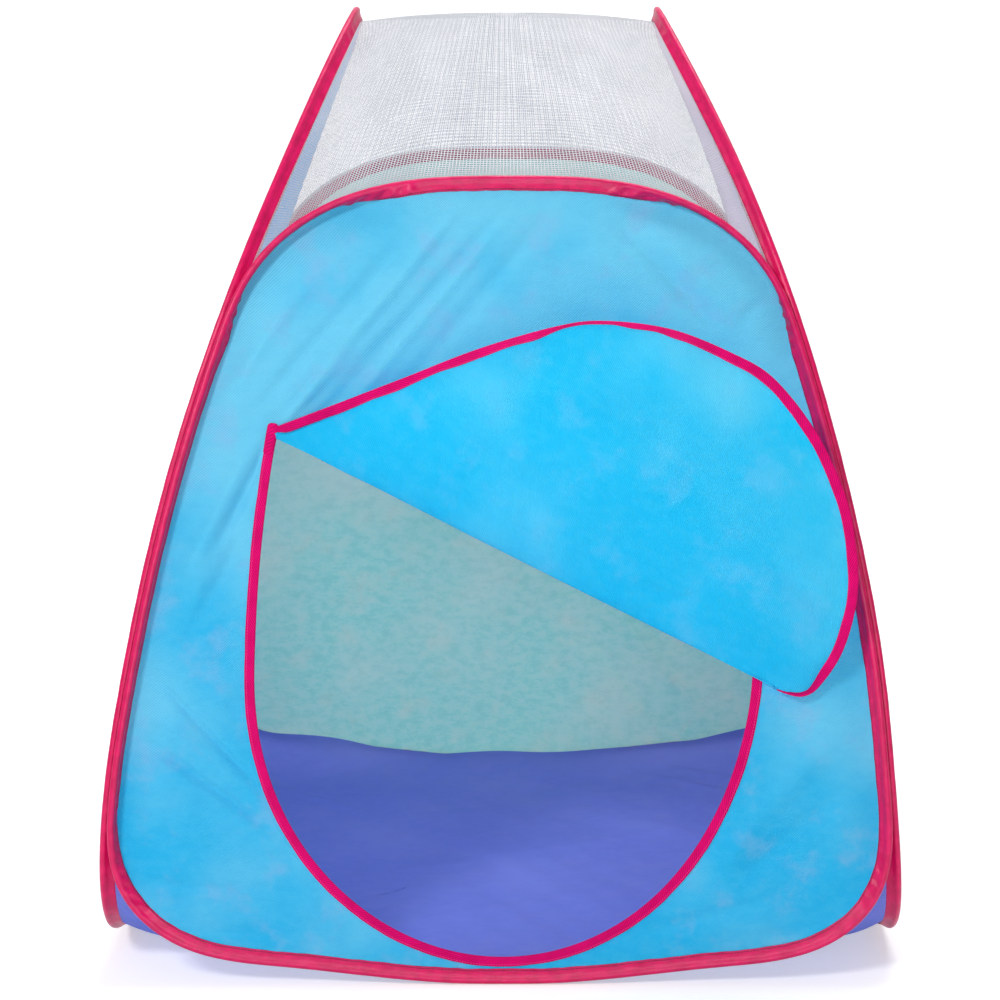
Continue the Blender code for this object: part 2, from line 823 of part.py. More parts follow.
def main():
    clear_scene()
    steel = make_material("spring_steel", (0.55, 0.56, 0.58), 0.30, 1.0)
    crimp = make_material("crimped_steel", (0.42, 0.43, 0.45), 0.45, 1.0)
    binding = make_material("crimson_satin", (0.75, 0.03, 0.15), 0.45)
    tape = make_material("magenta_tape", (0.80, 0.01, 0.16), 0.60)
    blue = make_material("sky_blue_cloth", (0.07, 0.52, 0.90), 0.75)
    green = make_material("seafoam_cloth", (0.27, 0.56, 0.51), 0.80)
    purple = make_material("violet_cloth", (0.13, 0.12, 0.58), 0.80)
    net = make_material("white_net", (0.85, 0.86, 0.88), 0.70)
    walls = {face: build_hoop(face, steel, crimp, binding) for face in FACES}
    for face, cloth in (("back", green), ("left", blue), ("right", blue)):
        walls[face].append(build_plain_panel(face, cloth))
    build_front_panel(blue)
    build_opening_binding(tape)
    flap = build_flap(blue, tape)
    build_corner_loop(tape)
    build_floor(purple)
    build_roof_half("roof_net_front", net, False)
    build_roof_half("roof_net_back", net, True)
    add_joints(walls, flap)


main()
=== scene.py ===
"""Dressed scene of the pop-up play tent: sewn cloth, satin bindings, net roof, floor and door flap.

Metres, +Z up, the front faces -Y, in the same frame as the CAD part. The driving sizes repeat the part's.
"""

import json
import math
from types import SimpleNamespace

import bpy
import numpy as np
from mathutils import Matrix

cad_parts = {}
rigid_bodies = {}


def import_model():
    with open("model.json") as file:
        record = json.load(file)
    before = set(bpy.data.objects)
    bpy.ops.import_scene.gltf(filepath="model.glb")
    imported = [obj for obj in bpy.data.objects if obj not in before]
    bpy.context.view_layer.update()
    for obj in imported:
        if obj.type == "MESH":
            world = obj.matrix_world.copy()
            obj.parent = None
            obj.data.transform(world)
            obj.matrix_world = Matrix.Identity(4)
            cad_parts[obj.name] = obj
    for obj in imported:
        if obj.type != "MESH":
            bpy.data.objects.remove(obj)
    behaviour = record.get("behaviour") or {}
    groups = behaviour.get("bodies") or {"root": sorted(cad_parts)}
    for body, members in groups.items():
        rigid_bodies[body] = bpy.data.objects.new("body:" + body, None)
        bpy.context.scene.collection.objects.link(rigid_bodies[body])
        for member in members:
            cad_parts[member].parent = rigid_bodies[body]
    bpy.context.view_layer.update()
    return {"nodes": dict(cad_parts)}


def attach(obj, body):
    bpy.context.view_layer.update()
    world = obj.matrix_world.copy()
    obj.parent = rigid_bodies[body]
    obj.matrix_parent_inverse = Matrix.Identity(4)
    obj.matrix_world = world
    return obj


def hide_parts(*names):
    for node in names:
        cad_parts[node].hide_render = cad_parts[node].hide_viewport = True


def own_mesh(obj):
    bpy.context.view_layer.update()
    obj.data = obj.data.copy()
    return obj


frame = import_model()

# Overall form, along the middle of the hoop wires
BASE_WIDTH = 0.753
BASE_DEPTH = 0.748
SIDE_TIP_HEIGHT = 0.898
SIDE_TIP_SPREAD = 0.304
ARCH_HEIGHT = 0.744
ARCH_SPREAD = 0.440
CORNER_TOP = 0.190
SHOULDER = 0.600

# Pairs are for the front and back hoops, and then for the side hoops
CORNER_POWERS = (3.3, 3.6)
FOOT_BOWS = (0.0085, 0.0)
ARCH_POWERS = (3.0, 2.0)
LEANS = (
    (ARCH_HEIGHT, BASE_DEPTH / 2, ARCH_SPREAD / 2),
    (SIDE_TIP_HEIGHT, BASE_WIDTH / 2, SIDE_TIP_SPREAD / 2),
)

# Sleeves, tapes and cloth
WIRE_RADIUS = 0.0015
SLEEVE_RADIUS = 0.00345
SLEEVE_REACH = 0.01145
SLEEVE_SHEAR = 0.0016
SEAM_INSET = 0.0058
STITCH_INSET = 0.0019
TAPE_STITCH_INSET = 0.0022
CLOTH = 0.0008
PANEL_SAG = 0.006
PANEL_INSET = 0.0040
HEM_FACE = 0.0024
TAPE_WIDTH = 0.0085
TAPE_EDGE = 0.0010
TAPE_HALF = 0.0013
LOOP_MARGIN = 0.0002
HEM_MARGIN = 0.0005
HEM_OVERLAP = 0.0008

# Door
OPENING_HALF_WIDTH = 0.233
OPENING_WAIST = 0.300
OPENING_FOOT = 0.0255
OPENING_TOP = 0.866
HINGE_HIGH_END = 0.511
HINGE_LOW_END = 0.292
FLAP_ROLL = 0.022
FLAP_BULGE = 0.040
FLAP_END_INSET = 0.002
FLAP_EDGE_STANDOFF = 0.110
FLAP_FOLD_OVERRUN = 0.046
FLAP_FOLD_LIFT = 0.0040

# The flap's free edge, in thousandths: along the hinge line and up from it, and the share of its standoff
FLAP_EDGE = (
    (-14, 5, 30), (30, 50, 120), (96, 117, 320), (178, 200, 590), (272, 298, 820),
    (382, 396, 950), (455, 441, 1000), (564, 479, 1000), (681, 491, 950), (769, 486, 890),
    (879, 440, 770), (963, 382, 650), (1018, 329, 560), (1072, 255, 440), (1103, 189, 330),
    (1121, 106, 180), (1114, 36, 80), (1098, 10, 60), (1074, 1, 50), (1050, -2, 40),
)

# Floor and roof
FLOOR_RAISED_CORNER = 0.140
FLOOR_FLAT_SHARE = 0.70
FLOOR_RISE_POWER = 2.85
NET_RIDGE_DROP = 0.011
NET_RIDGE_CROWN = 0.004
NET_JUNCTION = 0.635
NET_PITCHES = {"front": 0.0029, "back": 0.00215}
NET_THREAD_SHARE = 0.27
NET_UNEVEN = {"front": 0.04, "back": 0.12}
NET_LAYER = 0.00012
NET_STAND = 0.0004

# The tent stands a little askew: how far it sways to the right at a height
SWAY_PLACES = (0.0, 0.03, 0.11, 0.20, 0.30, 0.50, 0.62, 0.76, 0.90)
SWAY_AMOUNTS = (0.0, 0.0, -0.0030, -0.0030, 0.0008, 0.0036, 0.0062, 0.0076, 0.0035)

# Width, length and area of each panel's cloth before it was sewn in
PANEL_SHEETS = {
    "front": (0.75, 0.77, 0.33),
    "right": (0.76, 0.96, 0.51),
    "back": (0.75, 0.77, 0.47),
    "left": (0.76, 0.96, 0.51),
}

# How finely the curves are cut
FINE = 240
HOOP_POINTS = 900
PANEL_POINTS = 640
PANEL_RINGS = 60

# Each face's ways along it and out of it, seen from outside
FACES = {
    "front": np.array(((1, 0, 0), (0, -1, 0))),
    "right": np.array(((0, 1, 0), (1, 0, 0))),
    "back": np.array(((-1, 0, 0), (0, 1, 0))),
    "left": np.array(((0, -1, 0), (-1, 0, 0))),
}
UP = np.array((0, 0, 1))


# Small helpers for arrays of points


def smooth(value, none, full):
    """From 0 to 1 between two values, of which either may be the greater, easing in and out."""
    share = np.clip((value - none) / (full - none), 0, 1)
    return share * share * (3 - 2 * share)


def unit(vectors):
    return vectors / np.maximum(np.linalg.norm(vectors, axis=-1, keepdims=True), 1e-12)


def column(values):
    return np.asarray(values)[..., None]


def lengths_along(points):
    steps = np.linalg.norm(np.diff(points, axis=0), axis=1)
    return np.concatenate([[0.0], np.cumsum(steps)])


def at_lengths(points, lengths, targets):
    return np.stack([np.interp(targets, lengths, points[:, axis]) for axis in range(points.shape[1])], axis=1)


def around(points):
    """Distances along a closed line, from its first point back to it."""
    return lengths_along(np.concatenate([points, points[:1]]))


def at_shares(points, shares):
    lengths = lengths_along(points)
    return at_lengths(points, lengths / lengths[-1], shares)


def evenly(points, count):
    return at_shares(points, np.linspace(0, 1, count))


def smooth_through(points, steps):
    """A smooth curve through the given points."""
    padded = np.concatenate([[2 * points[0] - points[1]], points, [2 * points[-1] - points[-2]]])
    t = np.arange(steps)[:, None] / steps
    curve = []
    for p0, p1, p2, p3 in zip(padded, padded[1:], padded[2:], padded[3:]):
        bend = 2 * p0 - 5 * p1 + 4 * p2 - p3
        end = 3 * p1 - p0 - 3 * p2 + p3
        curve.append((2 * p1 + (p2 - p0) * t + bend * t**2 + end * t**3) / 2)
    return np.concatenate([*curve, points[-1:]])


def ripple(place, lengths, phases):
    """Sum of sine waves of falling strength along a place."""
    waves = enumerate(zip(lengths, phases), start=1)
    return sum(np.sin(2 * math.pi * place / length + phase) / rank for rank, (length, phase) in waves)


def arc(first, last, count, u_radius, w_radius):
    """Points on an arc, between two angles in degrees."""
    turn = np.radians(np.linspace(first, last, count))
    return np.stack([u_radius * np.cos(turn), w_radius * np.sin(turn)], axis=1)


def polar(points):
    x, y = points.T
    return np.arctan2(y, x), np.hypot(x, y)


def crease(places, x0, y0, x1, y1, width, depth, sharp=2.0):
    """A fold line on a flat layout, in millimetres: a groove that fades at both ends."""
    start, end = np.array(((x0, y0), (x1, y1))) / 1000
    run = end - start
    reach = np.linalg.norm(run)
    offset = places - start
    along = (offset @ run) / reach**2
    off = np.abs(offset[..., 0] * run[1] - offset[..., 1] * run[0]) / reach
    fade = smooth(along, -0.05, 0.25) * smooth(along, 1.05, 0.70)
    return -depth / 1000 * fade * np.exp(-((off * 1000 / width) ** sharp))


# Surfaces of the tent's four faces


def is_side(face):
    return face in ("left", "right")


def rise(height, top):
    return (height - SLEEVE_RADIUS) / (top - SLEEVE_RADIUS)


def face_distance(side, height):
    top, base, tip = LEANS[side]
    return base - (base - tip) * rise(height, top) ** 2


def face_normal(face, height):
    side = is_side(face)
    top, base, tip = LEANS[side]
    slope = -2 * (base - tip) * rise(height, top) / (top - SLEEVE_RADIUS)
    return unit(FACES[face][1] - UP * column(slope))


def on_face(face, layout, off=0.0):
    """Points on a face from their layout, across and up, at a distance off its curved surface."""
    along, out = FACES[face]
    across, height = layout[..., :1], layout[..., 1:]
    distance = face_distance(is_side(face), height)
    return along * across + out * distance + UP * height + face_normal(face, layout[..., 1]) * column(off)


def hoop_layout(face):
    """The whole hoop on its face, from the middle of its foot, anticlockwise as seen from outside."""
    side = is_side(face)
    top = LEANS[side][0]
    corner, arch = 2 / CORNER_POWERS[side], 2 / ARCH_POWERS[side]
    turn = np.linspace(0, math.pi / 2, FINE)
    low_share = np.sin(turn) ** corner
    bow = FOOT_BOWS[side] * smooth(low_share, 0.06, 0.50) * smooth(low_share, 0.85, 0.50)
    low_height = CORNER_TOP - (CORNER_TOP - SLEEVE_RADIUS) * np.cos(turn) ** corner + bow
    limb_height = np.linspace(CORNER_TOP, SHOULDER, FINE)[1:-1]
    high_height = SHOULDER + (top - SHOULDER) * np.sin(turn) ** arch
    high_share = np.abs(np.cos(turn)) ** arch
    height = np.concatenate([low_height, limb_height, high_height])
    share = np.concatenate([low_share, np.ones_like(limb_height), high_share])
    half_width = face_distance(not side, height) - SEAM_INSET
    half = np.stack([half_width * share, height], axis=1)
    return np.concatenate([half, half[-2:0:-1] * (-1, 1)])


def binding_turn(face, layout, from_top):
    """How far the binding's sewn edge turns in from its face, pulled by the roof net and the floor."""
    height, across = layout[:, 1], np.abs(layout[:, 0])
    if is_side(face):
        roof = 42 + 24 * smooth(from_top, 0.02, 0.10)
        above = roof * smooth(from_top, 0.46, 0.36)
        below = 70 * smooth(height, 0.27, 0.12) * (0.3 + 0.7 * smooth(across, 0.16, 0.29))
        return np.radians(above + below + 8)
    steep = np.where((layout[:, 0] < 0) & (face == "front"), 70, 46)
    limb = steep * smooth(from_top, 0.20, 0.40) * smooth(height, 0.03, 0.16)
    if face == "back":
        return np.radians(limb)
    shoulder = 93 * smooth(from_top, 0.082, 0.170) * smooth(from_top, 0.42, 0.28)
    return np.radians(np.maximum(shoulder, limb))


def hoop_frames(face, count):
    """Evenly spaced places on a hoop's wire, with the ways to the binding's sewn edge and out of it."""
    layout = hoop_layout(face)
    both = np.concatenate([on_face(face, layout), layout], axis=1)
    closed = np.concatenate([both, both[:1]])
    lengths = lengths_along(closed[:, :3])
    distance = np.arange(count) * lengths[-1] / count
    picked = at_lengths(closed, lengths, distance)
    places, layout = picked[:, :3], picked[:, 3:]
    from_top = np.abs(distance - lengths[-1] / 2)
    normal = face_normal(face, layout[:, 1])
    way = unit(np.roll(places, -1, axis=0) - np.roll(places, 1, axis=0))
    flat_in = unit(np.cross(normal, way))
    bend = binding_turn(face, layout, from_top)
    turn = column(bend)
    return SimpleNamespace(
        layout=layout, places=places, distance=distance, bend=bend, normal=normal, flat_in=flat_in,
        inward=flat_in * np.cos(turn) - normal * np.sin(turn),
        outward=normal * np.cos(turn) + flat_in * np.sin(turn),
    )


# Meshes

SWAY_FINE_PLACES = np.linspace(0, SIDE_TIP_HEIGHT, 120)
SWAY_ROUGH = np.pad(np.interp(SWAY_FINE_PLACES, SWAY_PLACES, SWAY_AMOUNTS), 6, mode="edge")
SWAY_FINE = np.convolve(SWAY_ROUGH, np.ones(13) / 13, "valid")


def sway(points):
    return points + column(np.interp(points[:, 2], SWAY_FINE_PLACES, SWAY_FINE)) * (1, 0, 0)


def add_object(name, data, place=(0, 0, 0), turn=(0, 0, 0)):
    obj = bpy.data.objects.new(name, data)
    obj.location = place
    obj.rotation_euler = turn
    bpy.context.scene.collection.objects.link(obj)
    return obj


def mesh_object(name, points, faces, material, uv, uv_corners):
    """A smooth object from points and faces, with its layout in metres as its UV map."""
    mesh = bpy.data.meshes.new(name)
    mesh.from_pydata(sway(points.reshape(-1, 3)).tolist(), [], faces)
    layer = mesh.uv_layers.new(name="cloth_metres")
    layer.data.foreach_set("uv", uv.reshape(-1, 2)[uv_corners].astype(np.float32).reshape(-1))
    mesh.materials.append(material)
    mesh.shade_smooth()
    return add_object(name, mesh)


def quads(rows, columns, closed_rows=False, closed_columns=False, wrap=True):
    """Corner numbers of the quads of a grid of points."""
    i, j = np.indices((rows - 1 + closed_rows, columns - 1 + closed_columns))
    if wrap:
        i_next, j_next, width = (i + 1) % rows, (j + 1) % columns, columns
    else:
        i_next, j_next, width = i + 1, j + 1, columns + closed_columns
    corners = [i * width + j, i_next * width + j, i_next * width + j_next, i * width + j_next]
    return np.stack(corners, axis=-1).reshape(-1, 4)


def grid_object(
    name, points, material, uv, closed_rows=False, closed_columns=False, capped=False, turned=False
):
    """A grid of points as one surface. A capped one's last row is closed with a face."""
    rows, columns = points.shape[:2]
    if uv.shape[1] < columns + closed_columns:
        uv = np.concatenate([uv, uv[:, :1]], axis=1)
    faces = quads(rows, columns, closed_rows, closed_columns).tolist()
    corners = quads(rows, columns, closed_rows, closed_columns, wrap=False).reshape(-1)
    if capped:
        last = np.arange(columns)[::-1]
        faces.append((last + (rows - 1) * columns).tolist())
        corners = np.concatenate([corners, last + (rows - 1) * (columns + 1)])
    made = mesh_object(name, points, faces, material, uv, corners)
    if turned:
        made.data.flip_normals()
    return made


def swept(name, places, inward, outward, section, shift, material, distance, closed=False):
    """A section carried along frames. section is (u, w) points; shift is extra (u, w) per frame and point."""
    moved = section + shift
    points = places[:, None] + inward[:, None] * moved[..., :1] + outward[:, None] * moved[..., 1:]
    girth = around(section)
    if closed:
        distance = np.append(distance, 2 * distance[-1] - distance[-2])
    uv = np.stack(np.meshgrid(distance, girth - girth[-1] / 2, indexing="ij"), axis=-1)
    return grid_object(name, points, material, uv, closed_rows=closed, closed_columns=True)


def place_piece(obj, body, slot, *nodes):
    """Gives a piece its body and hides the nodes it stands in for; its slot is not used. A face's body has the
    face's name.
    """
    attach(obj, body)
    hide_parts(*nodes)


# Materials


def linear(red, green, blue):
    """A colour as it shows on screen, from 0 to 255, turned into the renderer's own values."""
    shares = np.array((red, green, blue)) / 255
    values = np.where(shares <= 0.04045, shares / 12.92, ((shares + 0.055) / 1.055) ** 2.4)
    return (*values.tolist(), 1.0)


class Shader:
    """Adds nodes to one material and joins them."""

    def __init__(self, name, roughness, **fixed):
        self.material = bpy.data.materials.new(name)
        self.material.use_nodes = True
        self.tree = self.material.node_tree
        self.out = self.tree.nodes["Principled BSDF"]
        self.out.inputs["Roughness"].default_value = roughness
        for socket, value in fixed.items():
            self.out.inputs[socket.replace("_", " ")].default_value = value

    def feed(self, socket, value):
        """Gives a socket a node's output or a plain value."""
        if hasattr(value, "is_output"):
            self.tree.links.new(value, socket)
        else:
            socket.default_value = value

    def node(self, kind, sockets, **settings):
        made = self.tree.nodes.new(kind)
        for key, value in settings.items():
            setattr(made, key, value)
        for key, value in sockets.items():
            self.feed(made.inputs[key], value)
        return made

    def math(self, operation, first, second=0.0, third=0.0):
        sockets = {0: first, 1: second, 2: third}
        return self.node("ShaderNodeMath", sockets, operation=operation).outputs[0]

    def times(self, value, factor):
        return self.math("MULTIPLY", value, factor)

    def total(self, *parts, base=0.0):
        """The sum of values, each times its factor, and a base."""
        for value, factor in parts:
            base = self.math("MULTIPLY_ADD", value, factor, base)
        return base

    def layout(self):
        """The cloth's own layout, in metres."""
        return self.node("ShaderNodeUVMap", {}, uv_map="cloth_metres").outputs[0]

    def parts(self, vector):
        return self.node("ShaderNodeSeparateXYZ", {0: vector}).outputs[:2]

    def stretched(self, vector, factors):
        return self.node("ShaderNodeVectorMath", {0: vector, 1: factors}, operation="MULTIPLY").outputs[0]

    def threads(self, layout, degrees, pitch):
        """Rounded threads side by side at an angle, from 0 in the gaps to 1 on top."""
        turn = math.radians(degrees)
        sockets = {0: layout, 1: (-math.sin(turn), math.cos(turn), 0)}
        across = self.node("ShaderNodeVectorMath", sockets, operation="DOT_PRODUCT").outputs["Value"]
        wave = self.math("SINE", self.times(across, 2 * math.pi / pitch))
        return self.total((wave, 0.5), base=0.5)

    def noise(self, vector, size, detail=3.0, roughness=0.55):
        sockets = {"Vector": vector, "Scale": 1 / size, "Detail": detail, "Roughness": roughness}
        return self.node("ShaderNodeTexNoise", sockets, noise_dimensions="3D").outputs["Fac"]

    def band(self, value, low, high, bottom=0.0, top=1.0):
        """Turns low to high of a value into bottom to top, easing in and out."""
        sockets = {"Value": value, "From Min": low, "From Max": high, "To Min": bottom, "To Max": top}
        return self.node("ShaderNodeMapRange", sockets, interpolation_type="SMOOTHSTEP").outputs[0]

    def mix(self, share, first, second):
        return self.node("ShaderNodeMix", {0: share, 6: first, 7: second}, data_type="RGBA").outputs[2]

    def stitches(self, layout, place, width, pitch, dash):
        """Stitches at a place on the girth, on both faces: their row, and the dashes in it."""
        along, girth = self.parts(layout)
        off = self.math("SUBTRACT", self.math("ABSOLUTE", girth), place)
        row = self.band(self.math("ABSOLUTE", off), width, width + 0.0002, 1.0, 0.0)
        repeat = self.math("FRACT", self.math("DIVIDE", along, pitch))
        middle = self.math("ABSOLUTE", self.math("SUBTRACT", repeat, 0.5))
        return row, self.times(row, self.band(middle, dash, 0.36, 1.0, 0.0))

    def let_light_through(self, colour, share):
        """Thin cloth: part of the light that falls on it comes out on the other side."""
        through = self.node("ShaderNodeBsdfTranslucent", {"Color": colour})
        both = self.node("ShaderNodeMixShader", {0: share, 1: self.out.outputs[0], 2: through.outputs[0]})
        self.feed(self.tree.nodes["Material Output"].inputs["Surface"], both.outputs[0])

    def finish(self, colour, height, depth, strength):
        self.feed(self.out.inputs["Base Color"], colour)
        bump = self.node("ShaderNodeBump", {"Height": height, "Distance": depth, "Strength": strength})
        self.feed(self.out.inputs["Normal"], bump.outputs[0])
        return self.material


def woven_cloth(
    name, deep, base, pale, tint, degrees=45, pitch=0.0017, clouds=0.050, cloud_share=0.5, contrast=0.42,
    mottled=0.12,
):
    """Thin printed cloth with fine slanting ribs, soft clouds of a second tint and loose fibres, paler towards
    the top of its layout as painted light from above.
    """
    deep, base, pale, tint = (linear(*colour) for colour in (deep, base, pale, tint))
    shader = Shader(name, 0.78, Sheen_Weight=0.03, Sheen_Roughness=0.5, Specular_IOR_Level=0.14)
    layout = shader.layout()
    ribs = shader.threads(layout, degrees, pitch)
    yarns = shader.threads(layout, degrees + 90, pitch * 0.5)
    fibre = shader.noise(layout, 0.0011, 2.0, 0.7)
    mottle = shader.noise(shader.stretched(layout, (0.8, 1.3, 1.0)), 0.0130, 6.0, 0.72)
    cloud = shader.noise(layout, clouds, 4.0, 0.6)
    drift = shader.noise(layout, clouds * 3.1, 2.0, 0.5)
    up = shader.parts(layout)[1]
    # Paler towards the top of the layout: painted light from above, mixed with a random drift in tone. On the
    # floor the same term makes the back paler.
    drift_and_painted_top_light = shader.total((shader.band(up, 0.02, 0.70), 0.30), base=drift)
    colour = shader.mix(shader.band(drift_and_painted_top_light, 0.42, 0.86), base, pale)
    colour = shader.mix(shader.band(cloud, 0.50, 0.72, 0.0, cloud_share), colour, tint)
    colour = shader.mix(shader.band(mottle, 0.42, 0.66, 0.0, mottled), colour, pale)
    spared = shader.band(mottle, 0.34, 0.56, 1.0, 0.0)
    shade = shader.total((fibre, -0.4), (ribs, -0.7), (spared, mottled), base=1.0)
    colour = shader.mix(shader.times(shade, contrast), colour, deep)
    height = shader.total((fibre, 0.5), (yarns, 0.35), (mottle, 1.4), base=ribs)
    shader.let_light_through(colour, 0.34)
    return shader.finish(colour, height, 0.00022, 0.9)


def satin_binding(name):
    """Satin ribbon folded over the wire and sewn down with a row of stitches near its edge."""
    shader = Shader(
        name, 0.34, Specular_IOR_Level=0.34, Sheen_Weight=0.04, Sheen_Roughness=0.3, Anisotropic=0.5
    )
    layout = shader.layout()
    lengthwise = shader.stretched(layout, (0.35, 1.8, 1.0))
    streaks_and_painted_sheen = shader.noise(lengthwise, 0.0040, 3.0, 0.6)
    slub = shader.noise(lengthwise, 0.0007, 2.0, 0.6)
    folds = shader.noise(layout, 0.014)
    row, stitch = shader.stitches(layout, BINDING_GIRTH - STITCH_INSET, 0.0003, 0.0030, 0.30)
    # Darker crimson where the fold noise is low, in the hollows its bump sinks: painted shade in the folds.
    colour = shader.mix(shader.band(folds, 0.32, 0.68), linear(194, 0, 80), linear(214, 6, 92))
    # Hot pink along the lengthwise streaks: painted sheen of the satin.
    colour = shader.mix(shader.band(streaks_and_painted_sheen, 0.40, 0.80, 0.0, 0.14), colour, linear(250, 60, 124))
    # The stitched row darker along the groove its bump sinks: painted shade in the groove.
    colour = shader.mix(shader.times(row, 0.30), colour, linear(150, 0, 66))
    colour = shader.mix(shader.times(stitch, 0.85), colour, linear(112, 0, 56))
    height = shader.total((slub, 0.20), (streaks_and_painted_sheen, 0.7), (folds, 0.35), (row, -1.1), (stitch, 0.6))
    return shader.finish(colour, height, 0.00055, 0.8)


def ribbed_tape(name):
    """Twill tape with fine slanting ribs and one row of stitches."""
    shader = Shader(name, 0.66, Sheen_Weight=0.02, Sheen_Roughness=0.4, Specular_IOR_Level=0.08)
    layout = shader.layout()
    ribs = shader.threads(layout, 32, 0.0019)
    fibre = shader.noise(layout, 0.0008, 2.0, 0.7)
    patches = shader.noise(layout, 0.020)
    stitch = shader.stitches(layout, TAPE_GIRTH - TAPE_STITCH_INSET, 0.0002, 0.0026, 0.28)[1]
    colour = shader.mix(shader.band(patches, 0.3, 0.7), linear(212, 0, 102), linear(232, 2, 114))
    dark = shader.times(shader.math("SUBTRACT", 1.0, ribs), 0.55)
    colour = shader.mix(dark, colour, linear(140, 0, 68))
    colour = shader.mix(shader.times(stitch, 0.6), colour, linear(255, 78, 150))
    height = shader.total((fibre, 0.35), (stitch, 0.8), base=ribs)
    return shader.finish(colour, height, 0.00020, 0.9)


def net_thread(name):
    """White knitted thread."""
    shader = Shader(name, 0.55, Sheen_Weight=0.1, Specular_IOR_Level=0.35)
    layout = shader.layout()
    twist = shader.threads(layout, 62, 0.0006)
    patches = shader.noise(layout, 0.060)
    colour = shader.mix(shader.band(patches, 0.3, 0.7), linear(196, 197, 201), linear(210, 211, 214))
    return shader.finish(colour, twist, 0.00006, 0.5)


def brushed_steel(name, base, roughness):
    """Bare spring steel with fine drawn lines."""
    shader = Shader(name, roughness, Metallic=1.0)
    place = shader.node("ShaderNodeTexCoord", {}).outputs["Object"]
    grain = shader.noise(place, 0.0016, 4.0, 0.7)
    spots = shader.noise(place, 0.0120, 3.0, 0.6)
    spotted = shader.band(spots, 0.35, 0.7, 0.0, 0.5)
    return shader.finish(shader.mix(spotted, linear(*base), linear(120, 118, 116)), grain, 0.00004, 0.4)


# Sections of the binding and the tape


def folded_section(u, legs, bow):
    upper = np.stack([u, legs], axis=1)
    return np.concatenate([upper, bow, upper[::-1] * (1, -1)])


def binding_section():
    """Half round over the wire, falling to two legs that meet the sewn edge."""
    u = np.array((SLEEVE_REACH, 0.0108, 0.0098, 0.0085, 0.0070, 0.0055, 0.0042, 0.0031, 0.0021, 0.0010))
    legs = SLEEVE_SHEAR + (SLEEVE_RADIUS - SLEEVE_SHEAR) * np.exp(-((u / 0.0034) ** 2))
    legs[0] *= 0.45
    return folded_section(u, legs, arc(90, 270, 11, SLEEVE_RADIUS, SLEEVE_RADIUS))


def tape_section():
    """A tape folded over a cloth edge, rounded at the fold."""
    u = np.array((TAPE_WIDTH, 0.0080, 0.0066, 0.0050, 0.0034, 0.0018, 0.0006))
    legs = np.full(len(u), TAPE_HALF)
    legs[0] *= 0.55
    return folded_section(u, legs, arc(60, -60, 5, -TAPE_EDGE, TAPE_HALF))


BINDING_GIRTH = around(binding_section())[-1] / 2
TAPE_GIRTH = around(tape_section())[-1] / 2


# Hoops


def build_sleeve(face, satin, seed):
    hoop = hoop_frames(face, HOOP_POINTS)
    section = binding_section()
    depth, side = section[:, 0], np.sign(section[:, 1])
    s, v = column(hoop.distance), around(section)[None, :-1] - BINDING_GIRTH
    legs = smooth(depth, -0.001, 0.006)
    sewn = smooth(depth, SLEEVE_REACH, 0.0075)
    pull = column(smooth(np.abs(np.gradient(hoop.bend, hoop.distance)), 3.0, 14.0))
    soft = ripple(s + 0.35 * np.abs(v) + seed, (0.047, 0.029, 0.0173), (seed, 2.1 * seed, 4.0))
    folds = np.sin(2 * math.pi * (s / 0.016 + v / 0.028) + 2 * np.sin(s / 0.021))
    puff = 0.00022 * soft * (0.4 + 0.6 * legs) * (0.3 + 0.7 * sewn)
    puff = puff + 0.00150 * pull * (folds + 1) * legs * sewn
    lip = 0.00022 * ripple(s, (0.061, 0.023), (seed, 1.0)) * smooth(depth, 0.004, 0.011)
    shift = np.stack([lip, puff * side], axis=-1)
    frames = (hoop.places, hoop.inward, hoop.outward)
    sleeve = swept(f"{face}_sleeve_satin", *frames, section, shift, satin, hoop.distance, closed=True)
    place_piece(sleeve, face, "crimson_satin", f"{face}_hoop_sleeve")


def build_wire(face, steel):
    hoop = hoop_frames(face, HOOP_POINTS // 3)
    section = arc(0, 315, 8, WIRE_RADIUS, WIRE_RADIUS)
    still = np.zeros((len(hoop.places), 1, 2))
    frames = (hoop.places, hoop.flat_in, hoop.normal)
    wire = swept(f"{face}_spring_wire", *frames, section, still, steel, hoop.distance, closed=True)
    place_piece(wire, face, "spring_steel", f"{face}_hoop_wire")


# Panels

CLOTH_SLOTS = {"back": "seafoam_cloth", "left": "sky_blue_cloth", "right": "sky_blue_cloth"}

# Folds, in millimetres: start and end, each across and up, then width, depth and, for a few, how sharp
FRONT_FOLDS = (
    (-222, 505, -30, 742, 5, -5.6), (-196, 505, 0, 722, 5.6, 6.2), (-165, 515, 12, 728, 4.5, -3.8),
    (-140, 505, 40, 715, 7.5, 4), (-246, 520, -75, 720, 7, 4.2), (-282, 520, -180, 665, 8, -3.5),
    (-218, 524, -110, 632, 2.6, 2.6), (-206, 520, -90, 622, 2.6, 2.4), (-196, 520, -80, 606, 2.6, 2),
    (-214, 520, -272, 405, 5, 5.5), (-235, 510, -305, 370, 8, -5), (-240, 430, -315, 290, 9, 5),
    (-333, 300, -222, 186, 3.8, 4.2, 1.8), (-340, 240, -205, 141, 4.2, 4.8, 1.8),
    (-328, 262, -210, 165, 7, -3), (-346, 100, -245, 90, 5, 2.4), (-320, 58, -215, 45, 6, 2.4),
    (85, 716, 200, 600, 4.2, 4.6, 1.6),
    (60, 700, 160, 570, 11, -4), (110, 725, 215, 610, 8, -3.6), (130, 679, 196, 600, 11, 3),
    (200, 115, 310, 235, 12, -5.5), (215, 95, 330, 190, 11, 4.5), (120, 45, 260, 85, 8, 3),
    (315, 620, 268, 560, 7, 4), (262, 668, 215, 610, 6, 3.4),
)
